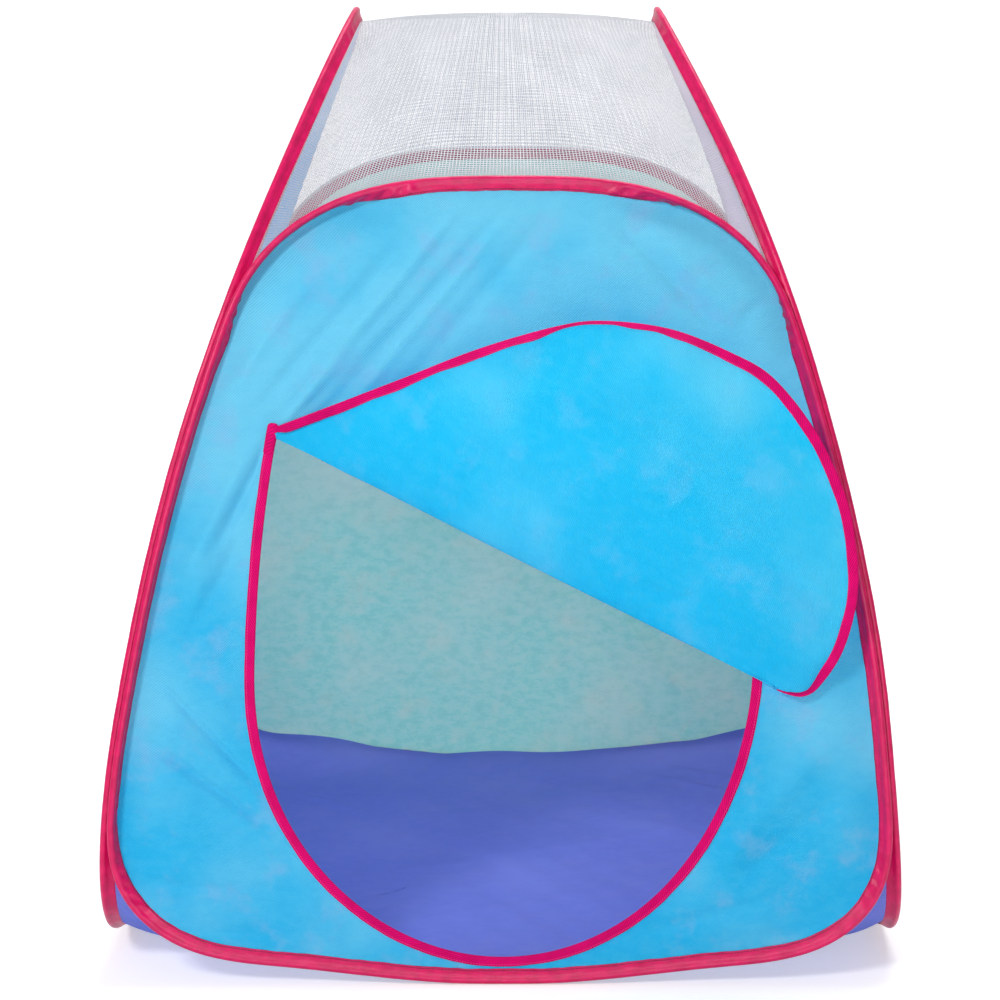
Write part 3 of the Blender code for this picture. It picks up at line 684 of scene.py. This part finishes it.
PLAIN_FOLDS = {
    "back": (
        (-300, 200, -100, 420, 16, 6.5), (300, 180, 120, 400, 14, -6), (-240, 60, -130, 200, 9, 4),
        (-180, 60, -100, 170, 8, -3.4), (220, 300, 50, 460, 10, 4.5),
    ),
    "left": (
        (-280, 240, -80, 480, 13, 6), (260, 500, 60, 700, 11, -5), (-240, 90, 20, 140, 12, 2.2),
    ),
    "right": (
        (280, 220, 100, 440, 13, -6), (-240, 560, -50, 730, 11, 5), (220, 80, -40, 130, 12, 2.2),
    ),
}


def folds_on(places, folds):
    return sum(crease(places, *fold) for fold in folds)


def crossed_waves(places, first, second):
    """Long low waves across a layout and up it: each a lean, the waves' lengths and their phases."""
    x, y = places[..., 0], places[..., 1]
    return ripple(x + first[0] * y, *first[1:]) + ripple(y + second[0] * x, *second[1:])


def soft_waves(places, seed):
    first = (0.4, (0.23, 0.131, 0.083), (seed, 1.7, 0.4))
    second = (-0.3, (0.29, 0.157, 0.071), (0.8, seed, 2.2))
    return 0.0016 * crossed_waves(places, first, second)


def sewn_in(face, hoop, flat, deep, off, fade):
    """A panel's points, with small gathers where it is sewn in, held over to the turned binding."""
    gathers = 0.00045 * ripple(hoop.distance, (0.019, 0.0117, 0.031), (0.3, 1.1, 2.6))
    inside = deep - PANEL_INSET
    off = off + gathers * np.exp(-((inside / 0.013) ** 2)) * smooth(inside, 0.0, 0.004)
    held = np.minimum(deep, SLEEVE_REACH) * smooth(deep, fade, SLEEVE_REACH)
    return on_face(face, flat, off) + (hoop.inward - hoop.flat_in) * column(held)


def build_plain_panel(face, cloth, seed):
    """A panel laid out in rings around its middle."""
    hoop = hoop_frames(face, PANEL_POINTS)
    middle = np.array((0, (hoop.layout[:, 1].max() + SLEEVE_RADIUS) / 2))
    radius = polar(hoop.layout - middle)[1]
    ring = column(np.linspace(0, 1, PANEL_RINGS) ** 1.15)
    share = (1 - PANEL_INSET / radius) * (1 - ring * 0.985)
    flat = middle + (hoop.layout - middle) * column(share)
    deep = radius * (1 - share)
    loose = soft_waves(flat, seed) + folds_on(flat, PLAIN_FOLDS[face])
    off = loose * smooth(deep, 0.012, 0.06) - PANEL_SAG * (1 - share**2)
    points = sewn_in(face, hoop, flat, deep, off, 0.060)
    name = f"{face}_panel_cloth"
    panel = grid_object(name, points, cloth, flat, closed_columns=True, capped=True, turned=True)
    place_piece(panel, face, CLOTH_SLOTS[face], f"{face}_panel")


def opening_side(height):
    end = np.where(height > OPENING_WAIST, OPENING_TOP, OPENING_FOOT)
    share = (height - OPENING_WAIST) / (end - OPENING_WAIST)
    return OPENING_HALF_WIDTH * np.sqrt(np.maximum(0, 1 - share**2))


def opening_cut():
    """The cut edge of the opening on the front's layout, from its high end down the left to its low end."""
    height = np.linspace(HINGE_HIGH_END, OPENING_WAIST, FINE)[:-1]
    upper = np.stack([-opening_side(height), height], axis=1)
    deep = OPENING_WAIST - OPENING_FOOT
    low_turn = math.acos((OPENING_WAIST - HINGE_LOW_END) / deep)
    turn = np.linspace(-math.pi / 2, low_turn, 2 * FINE)
    lower = np.stack([OPENING_HALF_WIDTH * np.sin(turn), OPENING_WAIST - deep * np.cos(turn)], axis=1)
    return np.concatenate([upper, lower])


HINGE_HEIGHTS = np.array((HINGE_HIGH_END, HINGE_LOW_END))
HINGE_ENDS = np.stack([opening_side(HINGE_HEIGHTS) * (-1, 1), HINGE_HEIGHTS], axis=1)
HINGE_UP = unit((HINGE_ENDS[0] - HINGE_ENDS[1])[::-1] * (1, -1))


def hinge_layout(share):
    return HINGE_ENDS[0] + (HINGE_ENDS[1] - HINGE_ENDS[0]) * column(share)


def build_front_panel(cloth):
    """The front between its hoop and the door opening, laid out along rays from the opening's middle."""
    hoop = hoop_frames("front", PANEL_POINTS)
    hole = np.concatenate([opening_cut(), hinge_layout(np.linspace(1, 0, FINE)[1:-1])])
    middle = (hole.max(axis=0) + hole.min(axis=0)) / 2 - (0.03, 0.02)
    angle, outer_radius = polar(hoop.layout - middle)
    hole_radius = np.interp(angle, *polar(hole - middle), period=2 * math.pi)
    edge_radius = outer_radius - PANEL_INSET
    reach = edge_radius + (hole_radius - edge_radius) * column(np.linspace(0, 1, PANEL_RINGS))
    flat = middle + np.stack([np.cos(angle), np.sin(angle)], axis=1) * column(reach)
    deep, to_hole = outer_radius - reach, reach - hole_radius
    on_hinge = 0.25 * smooth((flat - HINGE_ENDS[0]) @ HINGE_UP, -0.01, 0.0)
    free = np.maximum(smooth(to_hole, 0.010, 0.035), on_hinge)
    creased = np.maximum(smooth(to_hole, 0.009, 0.018), on_hinge)
    loose = soft_waves(flat, 0.9) * free + folds_on(flat, FRONT_FOLDS) * creased
    full = 0.004 * smooth(deep, 0.02, 0.12) * smooth(flat[..., 1], 0.45, 0.62)
    points = sewn_in("front", hoop, flat, deep, loose * smooth(deep, 0.012, 0.045) + full, 0.050)
    panel = grid_object("front_panel_cloth", points, cloth, flat, closed_columns=True, turned=True)
    place_piece(panel, "front", "sky_blue_cloth", "front_panel")


# Door opening's tape and the loop at its high end


def surface_frames(face, layout):
    """Frames along an open line on a face, whose cloth lies to the right of it."""
    places = on_face(face, layout)
    way = unit(np.gradient(places, axis=0))
    normal = face_normal(face, layout[:, 1])
    return places, -unit(np.cross(normal, way)), normal


def tape_shift(section, s, puff, lip):
    """Puffs in a tape's legs and its wandering edge: each a size, the waves' lengths and their phases."""
    depth, side = section[:, 0], np.sign(section[:, 1])
    legs = smooth(depth, 0.0, 0.007)
    puffed, wandering = (size * ripple(s, lengths, phases) * legs for size, lengths, phases in (puff, lip))
    return np.stack([wandering, puffed * side], axis=-1)


def build_opening_tape(tape):
    frames = surface_frames("front", evenly(opening_cut(), 620))
    section = tape_section()
    distance = lengths_along(frames[0])
    puff = (0.00016, (0.021, 0.013, 0.0079), (0.2, 1.4, 2.0))
    lip = (0.00015, (0.083, 0.037), (0.6, 1.9))
    shift = tape_shift(section, column(distance), puff, lip)
    taped = swept("opening_tape", *frames, section, shift, tape, distance)
    place_piece(taped, "front", "magenta_tape", "door_opening_binding")


def hinge_frame():
    """High end of the hinge line, the way along it, up the panel and out of it, and its length."""
    high, low = on_face("front", HINGE_ENDS)
    along = unit(low - high)
    out = face_normal("front", HINGE_HEIGHTS.mean())
    out = unit(out - along * (out @ along))
    return high, along, np.cross(out, along), out, np.linalg.norm(low - high)


def build_corner_loop(tape):
    """The opening's tape standing up past the hinge line's high end and folded over."""
    (start, following), (side, _), (out, _) = surface_frames("front", opening_cut()[:2])
    up = unit(start - following)
    base = start + side * (TAPE_WIDTH - TAPE_EDGE) / 2 - up * 0.010
    half_width = (TAPE_WIDTH + TAPE_EDGE) / 2 + LOOP_MARGIN
    over = arc(-75, 90, 9, 0.0030, 0.0021) + (0.0165, 0.0021)
    fall = ((0.0125, 0.0040), (0.0070, 0.0032), (0.0010, 0.0020), (-0.0040, 0.0008), (-0.0070, 0.0))
    track = np.concatenate([((0.0, 0.0), (0.008, 0.0), (0.0165, 0.0002)), over, fall])
    track = smooth_through(track, 4)
    share = np.linspace(0, 1, len(track))
    padded = np.pad(track, ((1, 1), (0, 0)), mode="edge")
    way = padded[2:] - padded[:-2]
    width = half_width * (1 - 0.26 * smooth(share, 0.18, 0.34) * smooth(share, 0.60, 0.38))
    thick = TAPE_HALF * (1.15 + 0.25 * np.sin(math.pi * share))
    face_way = unit(out * way[:, :1] - up * way[:, 1:])
    middle = base + up * track[:, :1] + out * track[:, 1:] + side * column(0.0004 * smooth(share, 0.3, 0.8))
    ring = np.radians(np.arange(0, 360, 20))
    flat_round = np.sign(np.cos(ring)) * np.abs(np.cos(ring)) ** 0.6
    rows = middle[:, None] + side * column(width[:, None] * flat_round)
    rows = rows + face_way[:, None] * column(thick[:, None] * np.sin(ring))
    ends = rows.mean(axis=1, keepdims=True).repeat(len(ring), 1)
    points = np.concatenate([ends[:1], rows, ends[-1:]])
    girth = np.linspace(-0.010, 0.010, len(ring) + 1)
    uv = np.stack(np.meshgrid(lengths_along(points[:, 0]), girth, indexing="ij"), axis=-1)
    loop = grid_object("corner_loop_tape", points, tape, uv, closed_columns=True)
    place_piece(loop, "front", "magenta_tape", "door_corner_loop")


# Door flap

FLAP_FOLDS = (
    (360, 30, 450, 22, 3, 1.2, 1.6), (395, 18, 425, 52, 2.8, 1.2, 1.6), (330, 12, 470, 50, 7, 1.6),
    (500, 135, 560, 165, 4, 1.4), (450, 100, 540, 80, 9, 2), (60, 50, 300, 110, 16, 3),
    (160, 110, 330, 210, 18, 2.8), (300, 80, 480, 60, 15, 2),
)


def flap_tape_reach(share):
    """How much of the tape's width lies on the flap: tucked away at both ends, and edge on over its top."""
    ends = 0.70 * smooth(share, 0.02, 0.0) + 0.93 * smooth(share, 0.935, 1.0)
    turned = 0.28 * smooth(share, 0.424, 0.398) + 0.40 * smooth(share, 0.471, 0.445)
    return 1 - ends - turned * smooth(share, 0.310, 0.352)


def flap_rows():
    """Rows across the open flap from its fold to its free edge, and the frames of the edge's tape."""
    high, along, up, out, length = hinge_frame()
    along_share, up_share, stand = np.array(FLAP_EDGE).T[..., None] / 1000
    edge = high + (along * along_share + up * up_share) * length + out * (stand * FLAP_EDGE_STANDOFF)
    edge = evenly(smooth_through(edge, 12), 200)
    share = np.linspace(0, 1, len(edge))
    inset = FLAP_END_INSET / length
    foot = hinge_layout(inset + (1 + FLAP_FOLD_OVERRUN - inset) * share)
    lift = CLOTH + FLAP_FOLD_LIFT * smooth(share, 0.86, 0.96)
    fold = on_face("front", foot, lift) - up * (CLOTH / 2)
    tangent = unit(np.gradient(edge, axis=0))
    inward = high + (along * 0.55 + up * 0.20) * length + out * FLAP_BULGE - edge
    inward = unit(inward - tangent * column((inward * tangent).sum(axis=1)))
    rolled = smooth(share, 0.06, 0.14) * smooth(share, 0.62, 0.50)
    flutter = 56 + 9 * np.sin(2 * math.pi * 11 * share)
    tuck = np.radians(column(64 * smooth(share, 0.915, 0.965) - flutter * rolled))
    inward = inward * np.cos(tuck) + np.cross(tangent, inward) * np.sin(tuck)
    hem = edge + inward * column((TAPE_WIDTH + HEM_MARGIN) * flap_tape_reach(share))
    fullness = column(np.sin(math.pi * share) ** 1.5)
    lower = fold + (out - up * 0.5) * (FLAP_ROLL * fullness)
    upper = (fold + hem) / 2 + out * (FLAP_BULGE * fullness)
    t = np.linspace(0, 1, 61)[:, None, None]
    s = 1 - t
    body = s**3 * fold + 3 * s**2 * t * lower + 3 * s * t**2 * upper + t**3 * hem
    rows = np.concatenate([body, [(hem + edge) / 2, edge]])
    return rows, edge, inward, np.cross(tangent, inward)


def build_flap(cloth, tape):
    high, along, up, out = hinge_frame()[:4]
    rows, edge, inward, outward = flap_rows()
    flat = (rows - high) @ np.stack([along, up], axis=1)
    share = np.linspace(0, 1, len(rows))[:, None]
    calm = smooth(share, 0.02, 0.14) * smooth(share, 0.98, 0.90)
    first = (-0.5, (0.19, 0.113, 0.067), (0.5, 2.0, 1.0))
    waves = crossed_waves(flat, first, (0.3, (0.21, 0.097), (1.2, 0.3)))
    normals = unit(np.cross(np.gradient(rows, axis=1), np.gradient(rows, axis=0)))
    normals *= np.sign(normals[30, 100] @ out)
    rows = rows + normals * column(calm * (0.0011 * waves + folds_on(flat, FLAP_FOLDS)))
    flap = grid_object("door_flap_cloth", rows, cloth, flat)
    place_piece(flap, "door", "sky_blue_cloth", "door_flap")
    section = tape_section()
    distance = lengths_along(edge)
    s = column(distance)
    puff = (0.00018, (0.023, 0.0117, 0.0081), (1.2, 0.4, 2.6))
    lip = (0.00020, (0.071, 0.033), (2.6, 0.9))
    shift = tape_shift(section, s, puff, lip)
    shift[..., 0] -= (1 - flap_tape_reach(s / distance[-1])) * np.maximum(section[:, 0], 0)
    shift[..., 1] -= smooth(s, distance[-1] - 0.020, distance[-1]) * 0.75 * section[:, 1]
    bound = swept("door_flap_tape", edge, inward, outward, section, shift, tape, distance)
    place_piece(bound, "door", "magenta_tape", "door_flap_binding")


# Floor

FLOOR_FOLDS = (
    (200, 330, 300, 270, 5, 3, 1.6), (160, 320, 300, 220, 7, 3.4), (-300, 300, -140, 160, 8, 3),
    (-240, -300, -60, -120, 9, 2.6), (60, 200, 240, 50, 11, 2.4),
)


def floor_edge(face, count):
    """The floor's hem along one wall, from raised corner to raised corner, inside the binding."""
    hoop = hoop_frames(face, HOOP_POINTS)
    low = np.roll(np.arange(HOOP_POINTS), HOOP_POINTS // 2)
    low = low[hoop.layout[low, 1] <= FLOOR_RAISED_CORNER]
    edge = hoop.places + hoop.inward * (SLEEVE_REACH - HEM_OVERLAP) - hoop.outward * HEM_FACE
    across = hoop.layout[low, 0]
    wave = np.maximum(0.0034 * ripple(across, (0.27, 0.17), (2.2, 0.4)) + 0.0032, 0.0014)
    return evenly(edge[low] + UP * column(wave * smooth(np.abs(across), 0.335, 0.24)), count)


def build_floor(cloth):
    edge = np.concatenate([floor_edge(face, 150) for face in FACES])
    ground = CLOTH / 2
    rising, level = np.linspace(1, FLOOR_FLAT_SHARE, 26), np.linspace(FLOOR_FLAT_SHARE, 0.02, 26)
    share = column(np.concatenate([rising, level[1:]]))
    climb = np.clip((share - FLOOR_FLAT_SHARE) / (1 - FLOOR_FLAT_SHARE), 0, 1) ** FLOOR_RISE_POWER
    flat = edge[:, :2] * column(share)
    first = (0.6, (0.21, 0.12, 0.05), (0.4, 1.2, 2.2))
    waves = crossed_waves(flat, first, (-0.5, (0.17, 0.09, 0.043), (1.9, 0.7, 0.2)))
    loose = smooth(1 - share, 0.0, 0.10) * (0.0042 + 0.0011 * waves - folds_on(flat, FLOOR_FOLDS))
    height = ground + (edge[:, 2] - ground) * climb + loose
    points = np.concatenate([flat, column(height)], axis=-1)
    floor = grid_object("floor_cloth", points, cloth, flat, closed_columns=True, capped=True)
    place_piece(floor, "front", "violet_cloth", "floor_sheet")


# Net roof


def roof_edges(half):
    """One half's arch, left limb and right limb on the front, at the bindings they are sewn to."""
    arch, limb = arch_line(half), limb_line()
    arch[-1] = limb[0] = (arch[-1] + limb[0]) / 2
    mirror = (-1, 1, 1)
    return np.concatenate([arch[:0:-1] * mirror, arch]), limb * mirror, limb


def limb_line():
    hoop = hoop_frames("right", HOOP_POINTS)
    line = hoop.places + hoop.inward * (SLEEVE_REACH * 0.92) - hoop.outward * HEM_FACE
    keep = (hoop.layout[:, 1] >= NET_JUNCTION) & (hoop.layout[:, 0] <= 0)
    limb = line[keep][::-1]
    limb = limb[limb[:, 2] <= SIDE_TIP_HEIGHT - NET_RIDGE_DROP]
    return np.concatenate([limb, limb[-1:] * (1, 0, 1)])


def arch_line(half):
    """The net is sewn on inside the front arch's wire, and on top of the back one's."""
    hoop = hoop_frames("front", HOOP_POINTS)
    lean = 2.0 if half == "front" else 0.0
    line = hoop.places - unit(hoop.flat_in + lean * hoop.normal) * (SLEEVE_RADIUS + NET_STAND)
    keep = (hoop.layout[:, 1] >= NET_JUNCTION) & (hoop.layout[:, 0] >= -1e-9)
    return line[keep][::-1]


def thread_places(count, uneven, seed):
    """Shares of the way across for threads side by side, each a little off its place."""
    places = np.linspace(0, 1, count)
    places[1:-1] += np.random.default_rng(seed).uniform(-uneven, uneven, count - 2) / (count - 1)
    return places


def roof_grid(half, arch, left_limb, right_limb, nu, nv):
    """Places on the front half of the roof: u from left to right, v from the arch to the ridge."""
    u = thread_places(nu, NET_UNEVEN[half], 5)
    v = thread_places(nv, NET_UNEVEN[half], 8)
    low, left, right = at_shares(arch, u), at_shares(left_limb, v), at_shares(right_limb, v)
    straight = left[-1] + (right[-1] - left[-1]) * column(u)
    high = straight + UP * column(4 * NET_RIDGE_CROWN * u * (1 - u))
    uu, vv = u[:, None, None], v[None, :, None]
    across = left * (1 - uu) + right * uu
    along = low[:, None] * (1 - vv) + high[:, None] * vv
    chord = arch[0] + (arch[-1] - arch[0]) * uu
    grid = across + along - chord * (1 - vv) - straight[:, None] * vv
    u, v = np.meshgrid(u, v, indexing="ij")
    slack = np.sin(math.pi * u) * np.sin(math.pi * v)
    waves = ripple(u * 0.45 + v * 0.30, (0.16, 0.093, 0.051), (0.6, 1.3, 2.8))
    pulls = ripple(u * 0.45 - v * 0.42, (0.12, 0.047), (2.0, 0.5))
    normal = unit(np.cross(np.gradient(grid, axis=0), np.gradient(grid, axis=1)))
    return grid + normal * column(slack * (0.0005 * waves + 0.0004 * pulls - 0.003)), normal


def ribbon_faces(starts, ends):
    """Quads between numbered points on the two edges of each stretch of thread."""
    corners = [starts[..., 0], ends[..., 0], ends[..., 1], starts[..., 1]]
    return np.stack(corners, axis=-1).reshape(-1, 4)


def build_roof_net(half, net):
    edges = roof_edges(half)
    pitch = NET_PITCHES[half]
    nu = int(lengths_along(edges[0])[-1] * 0.86 / pitch)
    nv = int(lengths_along(edges[1])[-1] * 0.96 / pitch)
    grid, normal = roof_grid(half, *edges, nu, nv)
    beside = np.array(((-1,), (1,))) * pitch * NET_THREAD_SHARE / 2
    weft = grid[:, :, None] + unit(np.gradient(grid, axis=1))[:, :, None] * beside
    warp = grid[:, :, None] + unit(np.gradient(grid, axis=0))[:, :, None] * beside
    warp = warp + normal[:, :, None] * NET_LAYER
    number = np.arange(nu * nv * 2).reshape(nu, nv, 2)
    weft_faces = ribbon_faces(number[:-1], number[1:])
    warp_faces = ribbon_faces(number[:, :-1], number[:, 1:]) + number.size
    faces = np.concatenate([weft_faces, warp_faces])
    points = np.concatenate([weft.reshape(-1, 3), warp.reshape(-1, 3)])
    if half == "back":
        points = points * (1, -1, 1)
        faces = faces[:, ::-1]
    name = f"{half}_roof_net"
    roof = mesh_object(name, points, faces.tolist(), net, points[:, :2], faces.reshape(-1))
    place_piece(roof, half, "white_net", f"roof_net_{half}")


# Camera, lights and backdrop

SWEEP_FRONT, SWEEP_BACK = -6.0, 2.6
SWEEP_BEND, SWEEP_TOP = 1.2, 7.0
SWEEP_SIDES = (-7.0, 7.0)
SWEEP_LEVEL = -0.0006
SWEEP_GLOW = 0.42
SKY_LIGHT = 0.32
SOFTBOXES = (
    ("key_softbox", (-2.3, -3.6, 3.3), (0, 0, 0.45), 1.1, 118),
    ("front_softbox", (0.4, -5.6, 1.1), (0, 0, 0.40), 2.0, 86),
    ("top_softbox", (0.5, 0.6, 3.6), (0, 0, 0.2), 2.0, 66),
)
CAMERA_PLACE = (0, -3.0, 0.952)
CAMERA_TILT = 0.18393
LENS = 105.31
SHIFT = -0.003


def add_camera():
    camera = bpy.data.cameras.new("photo_camera")
    camera.sensor_width = 36
    camera.lens = LENS
    camera.shift_x = SHIFT
    turn = (math.pi / 2 - CAMERA_TILT, 0, 0)
    bpy.context.scene.camera = add_object("photo_camera", camera, CAMERA_PLACE, turn)


def add_studio():
    """White sweep under and behind the tent, soft lamps in front and above, and an even sky."""
    bend = arc(-90, 0, 13, SWEEP_BEND, SWEEP_BEND) + (SWEEP_BACK, SWEEP_BEND)
    profile = np.concatenate([[(SWEEP_FRONT, 0.0)], bend, [(SWEEP_BACK + SWEEP_BEND, SWEEP_TOP)]])
    points = [(x, y, z) for y, z in profile.tolist() for x in SWEEP_SIDES]
    shader = Shader("studio_white", 1.0, Specular_IOR_Level=0.0, Emission_Color=(1, 1, 1, 1))
    shader.feed(shader.out.inputs["Base Color"], linear(236, 236, 236))
    seen = shader.node("ShaderNodeLightPath", {}).outputs
    direct = shader.math("MAXIMUM", seen["Is Camera Ray"], seen["Is Glossy Ray"])
    direct = shader.math("MAXIMUM", direct, seen["Is Transmission Ray"])
    shader.feed(shader.out.inputs["Emission Strength"], shader.times(direct, SWEEP_GLOW))
    # From behind, a camera looks through the sweep, so that the back of the tent can be seen too
    rear = shader.node("ShaderNodeNewGeometry", {}).outputs["Backfacing"]
    through = shader.times(rear, seen["Is Camera Ray"])
    shader.feed(shader.out.inputs["Alpha"], shader.math("SUBTRACT", 1.0, through))
    mesh = bpy.data.meshes.new("studio_sweep")
    mesh.from_pydata(points, [], quads(len(profile), 2)[:, ::-1].tolist())
    mesh.materials.append(shader.material)
    mesh.shade_smooth()
    add_object("studio_sweep", mesh, (0, 0, SWEEP_LEVEL))
    for name, place, aim, size, power in SOFTBOXES:
        lamp = bpy.data.lights.new(name, "AREA")
        lamp.shape = "DISK"
        lamp.size = size
        lamp.energy = power
        east, north, up = np.array(aim) - place
        turn = (math.atan2(math.hypot(east, north), -up), 0, math.atan2(-east, north))
        add_object(name, lamp, place, turn)
    world = bpy.data.worlds.new("studio_sky")
    bpy.context.scene.world = world
    world.use_nodes = True
    tree = world.node_tree
    background = tree.nodes["Background"].inputs
    background["Color"].default_value = (1, 1, 1, 1)
    path = tree.nodes.new("ShaderNodeLightPath")
    pick = tree.nodes.new("ShaderNodeMapRange")
    pick.inputs["To Min"].default_value = SKY_LIGHT
    tree.links.new(path.outputs["Is Camera Ray"], pick.inputs["Value"])
    tree.links.new(pick.outputs[0], background["Strength"])
    bpy.context.scene.view_settings.view_transform = "Standard"


def main():
    add_camera()
    satin = satin_binding("satin_crimson")
    tape = ribbed_tape("tape_magenta")
    steel = brushed_steel("steel_spring", (176, 178, 182), 0.32)
    crimp = brushed_steel("steel_crimp", (150, 151, 156), 0.45)
    net = net_thread("thread_white")
    for index, face in enumerate(FACES):
        build_sleeve(face, satin, 0.7 + 1.3 * index)
        build_wire(face, steel)
        ferrule = frame["nodes"][f"{face}_hoop_ferrule"].data.materials
        ferrule.clear()
        ferrule.append(crimp)
    sky_front = woven_cloth("cloth_sky_front", (0, 152, 222), (52, 206, 248), (132, 230, 252), (160, 210, 242))
    build_front_panel(sky_front)
    pale_side = woven_cloth(
        "cloth_pale_side", (204, 168, 216), (238, 200, 234), (240, 214, 238), (180, 222, 247),
        clouds=0.11, cloud_share=0.9, contrast=0.16, mottled=0.05,
    )
    build_plain_panel("right", pale_side, 0.5)
    seafoam = woven_cloth(
        "cloth_seafoam", (98, 192, 182), (168, 236, 222), (212, 240, 226), (220, 236, 220),
        contrast=0.34, cloud_share=0.6, mottled=0.45,
    )
    build_plain_panel("back", seafoam, 1.9)
    sky_side = woven_cloth("cloth_sky_side", (0, 118, 220), (38, 168, 242), (92, 196, 247), (108, 198, 247))
    build_plain_panel("left", sky_side, 3.1)
    build_opening_tape(tape)
    build_corner_loop(tape)
    sky_flap = woven_cloth(
        "cloth_sky_flap", (0, 162, 232), (34, 206, 248), (110, 224, 250), (130, 214, 248),
        degrees=-38, pitch=0.0016, cloud_share=0.34, contrast=0.30,
    )
    build_flap(sky_flap, tape)
    violet = woven_cloth(
        "cloth_violet", (86, 92, 196), (136, 150, 240), (150, 160, 242), (156, 160, 240),
        degrees=0, contrast=0.22, cloud_share=0.4, mottled=0.20,
    )
    build_floor(violet)
    build_roof_net("front", net)
    build_roof_net("back", net)
    declare_cloth()
    add_studio()


def declare_cloth():
    """Gathers the pieces sewn to each panel without using them, and gives the floor and the roof nets meshes
    of their own.
    """
    piece = bpy.data.objects
    for face, (width, length, area) in PANEL_SHEETS.items():
        sewn = [piece[f"{face}_sleeve_satin"]]
        if face == "front":
            sewn += [piece["opening_tape"], piece["corner_loop_tape"]]
    flap, taped, floor = piece["door_flap_cloth"], [piece["door_flap_tape"]], piece["floor_cloth"]
    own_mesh(floor)
    for half in ("front", "back"):
        roof = piece[f"{half}_roof_net"]
        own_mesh(roof)


main()
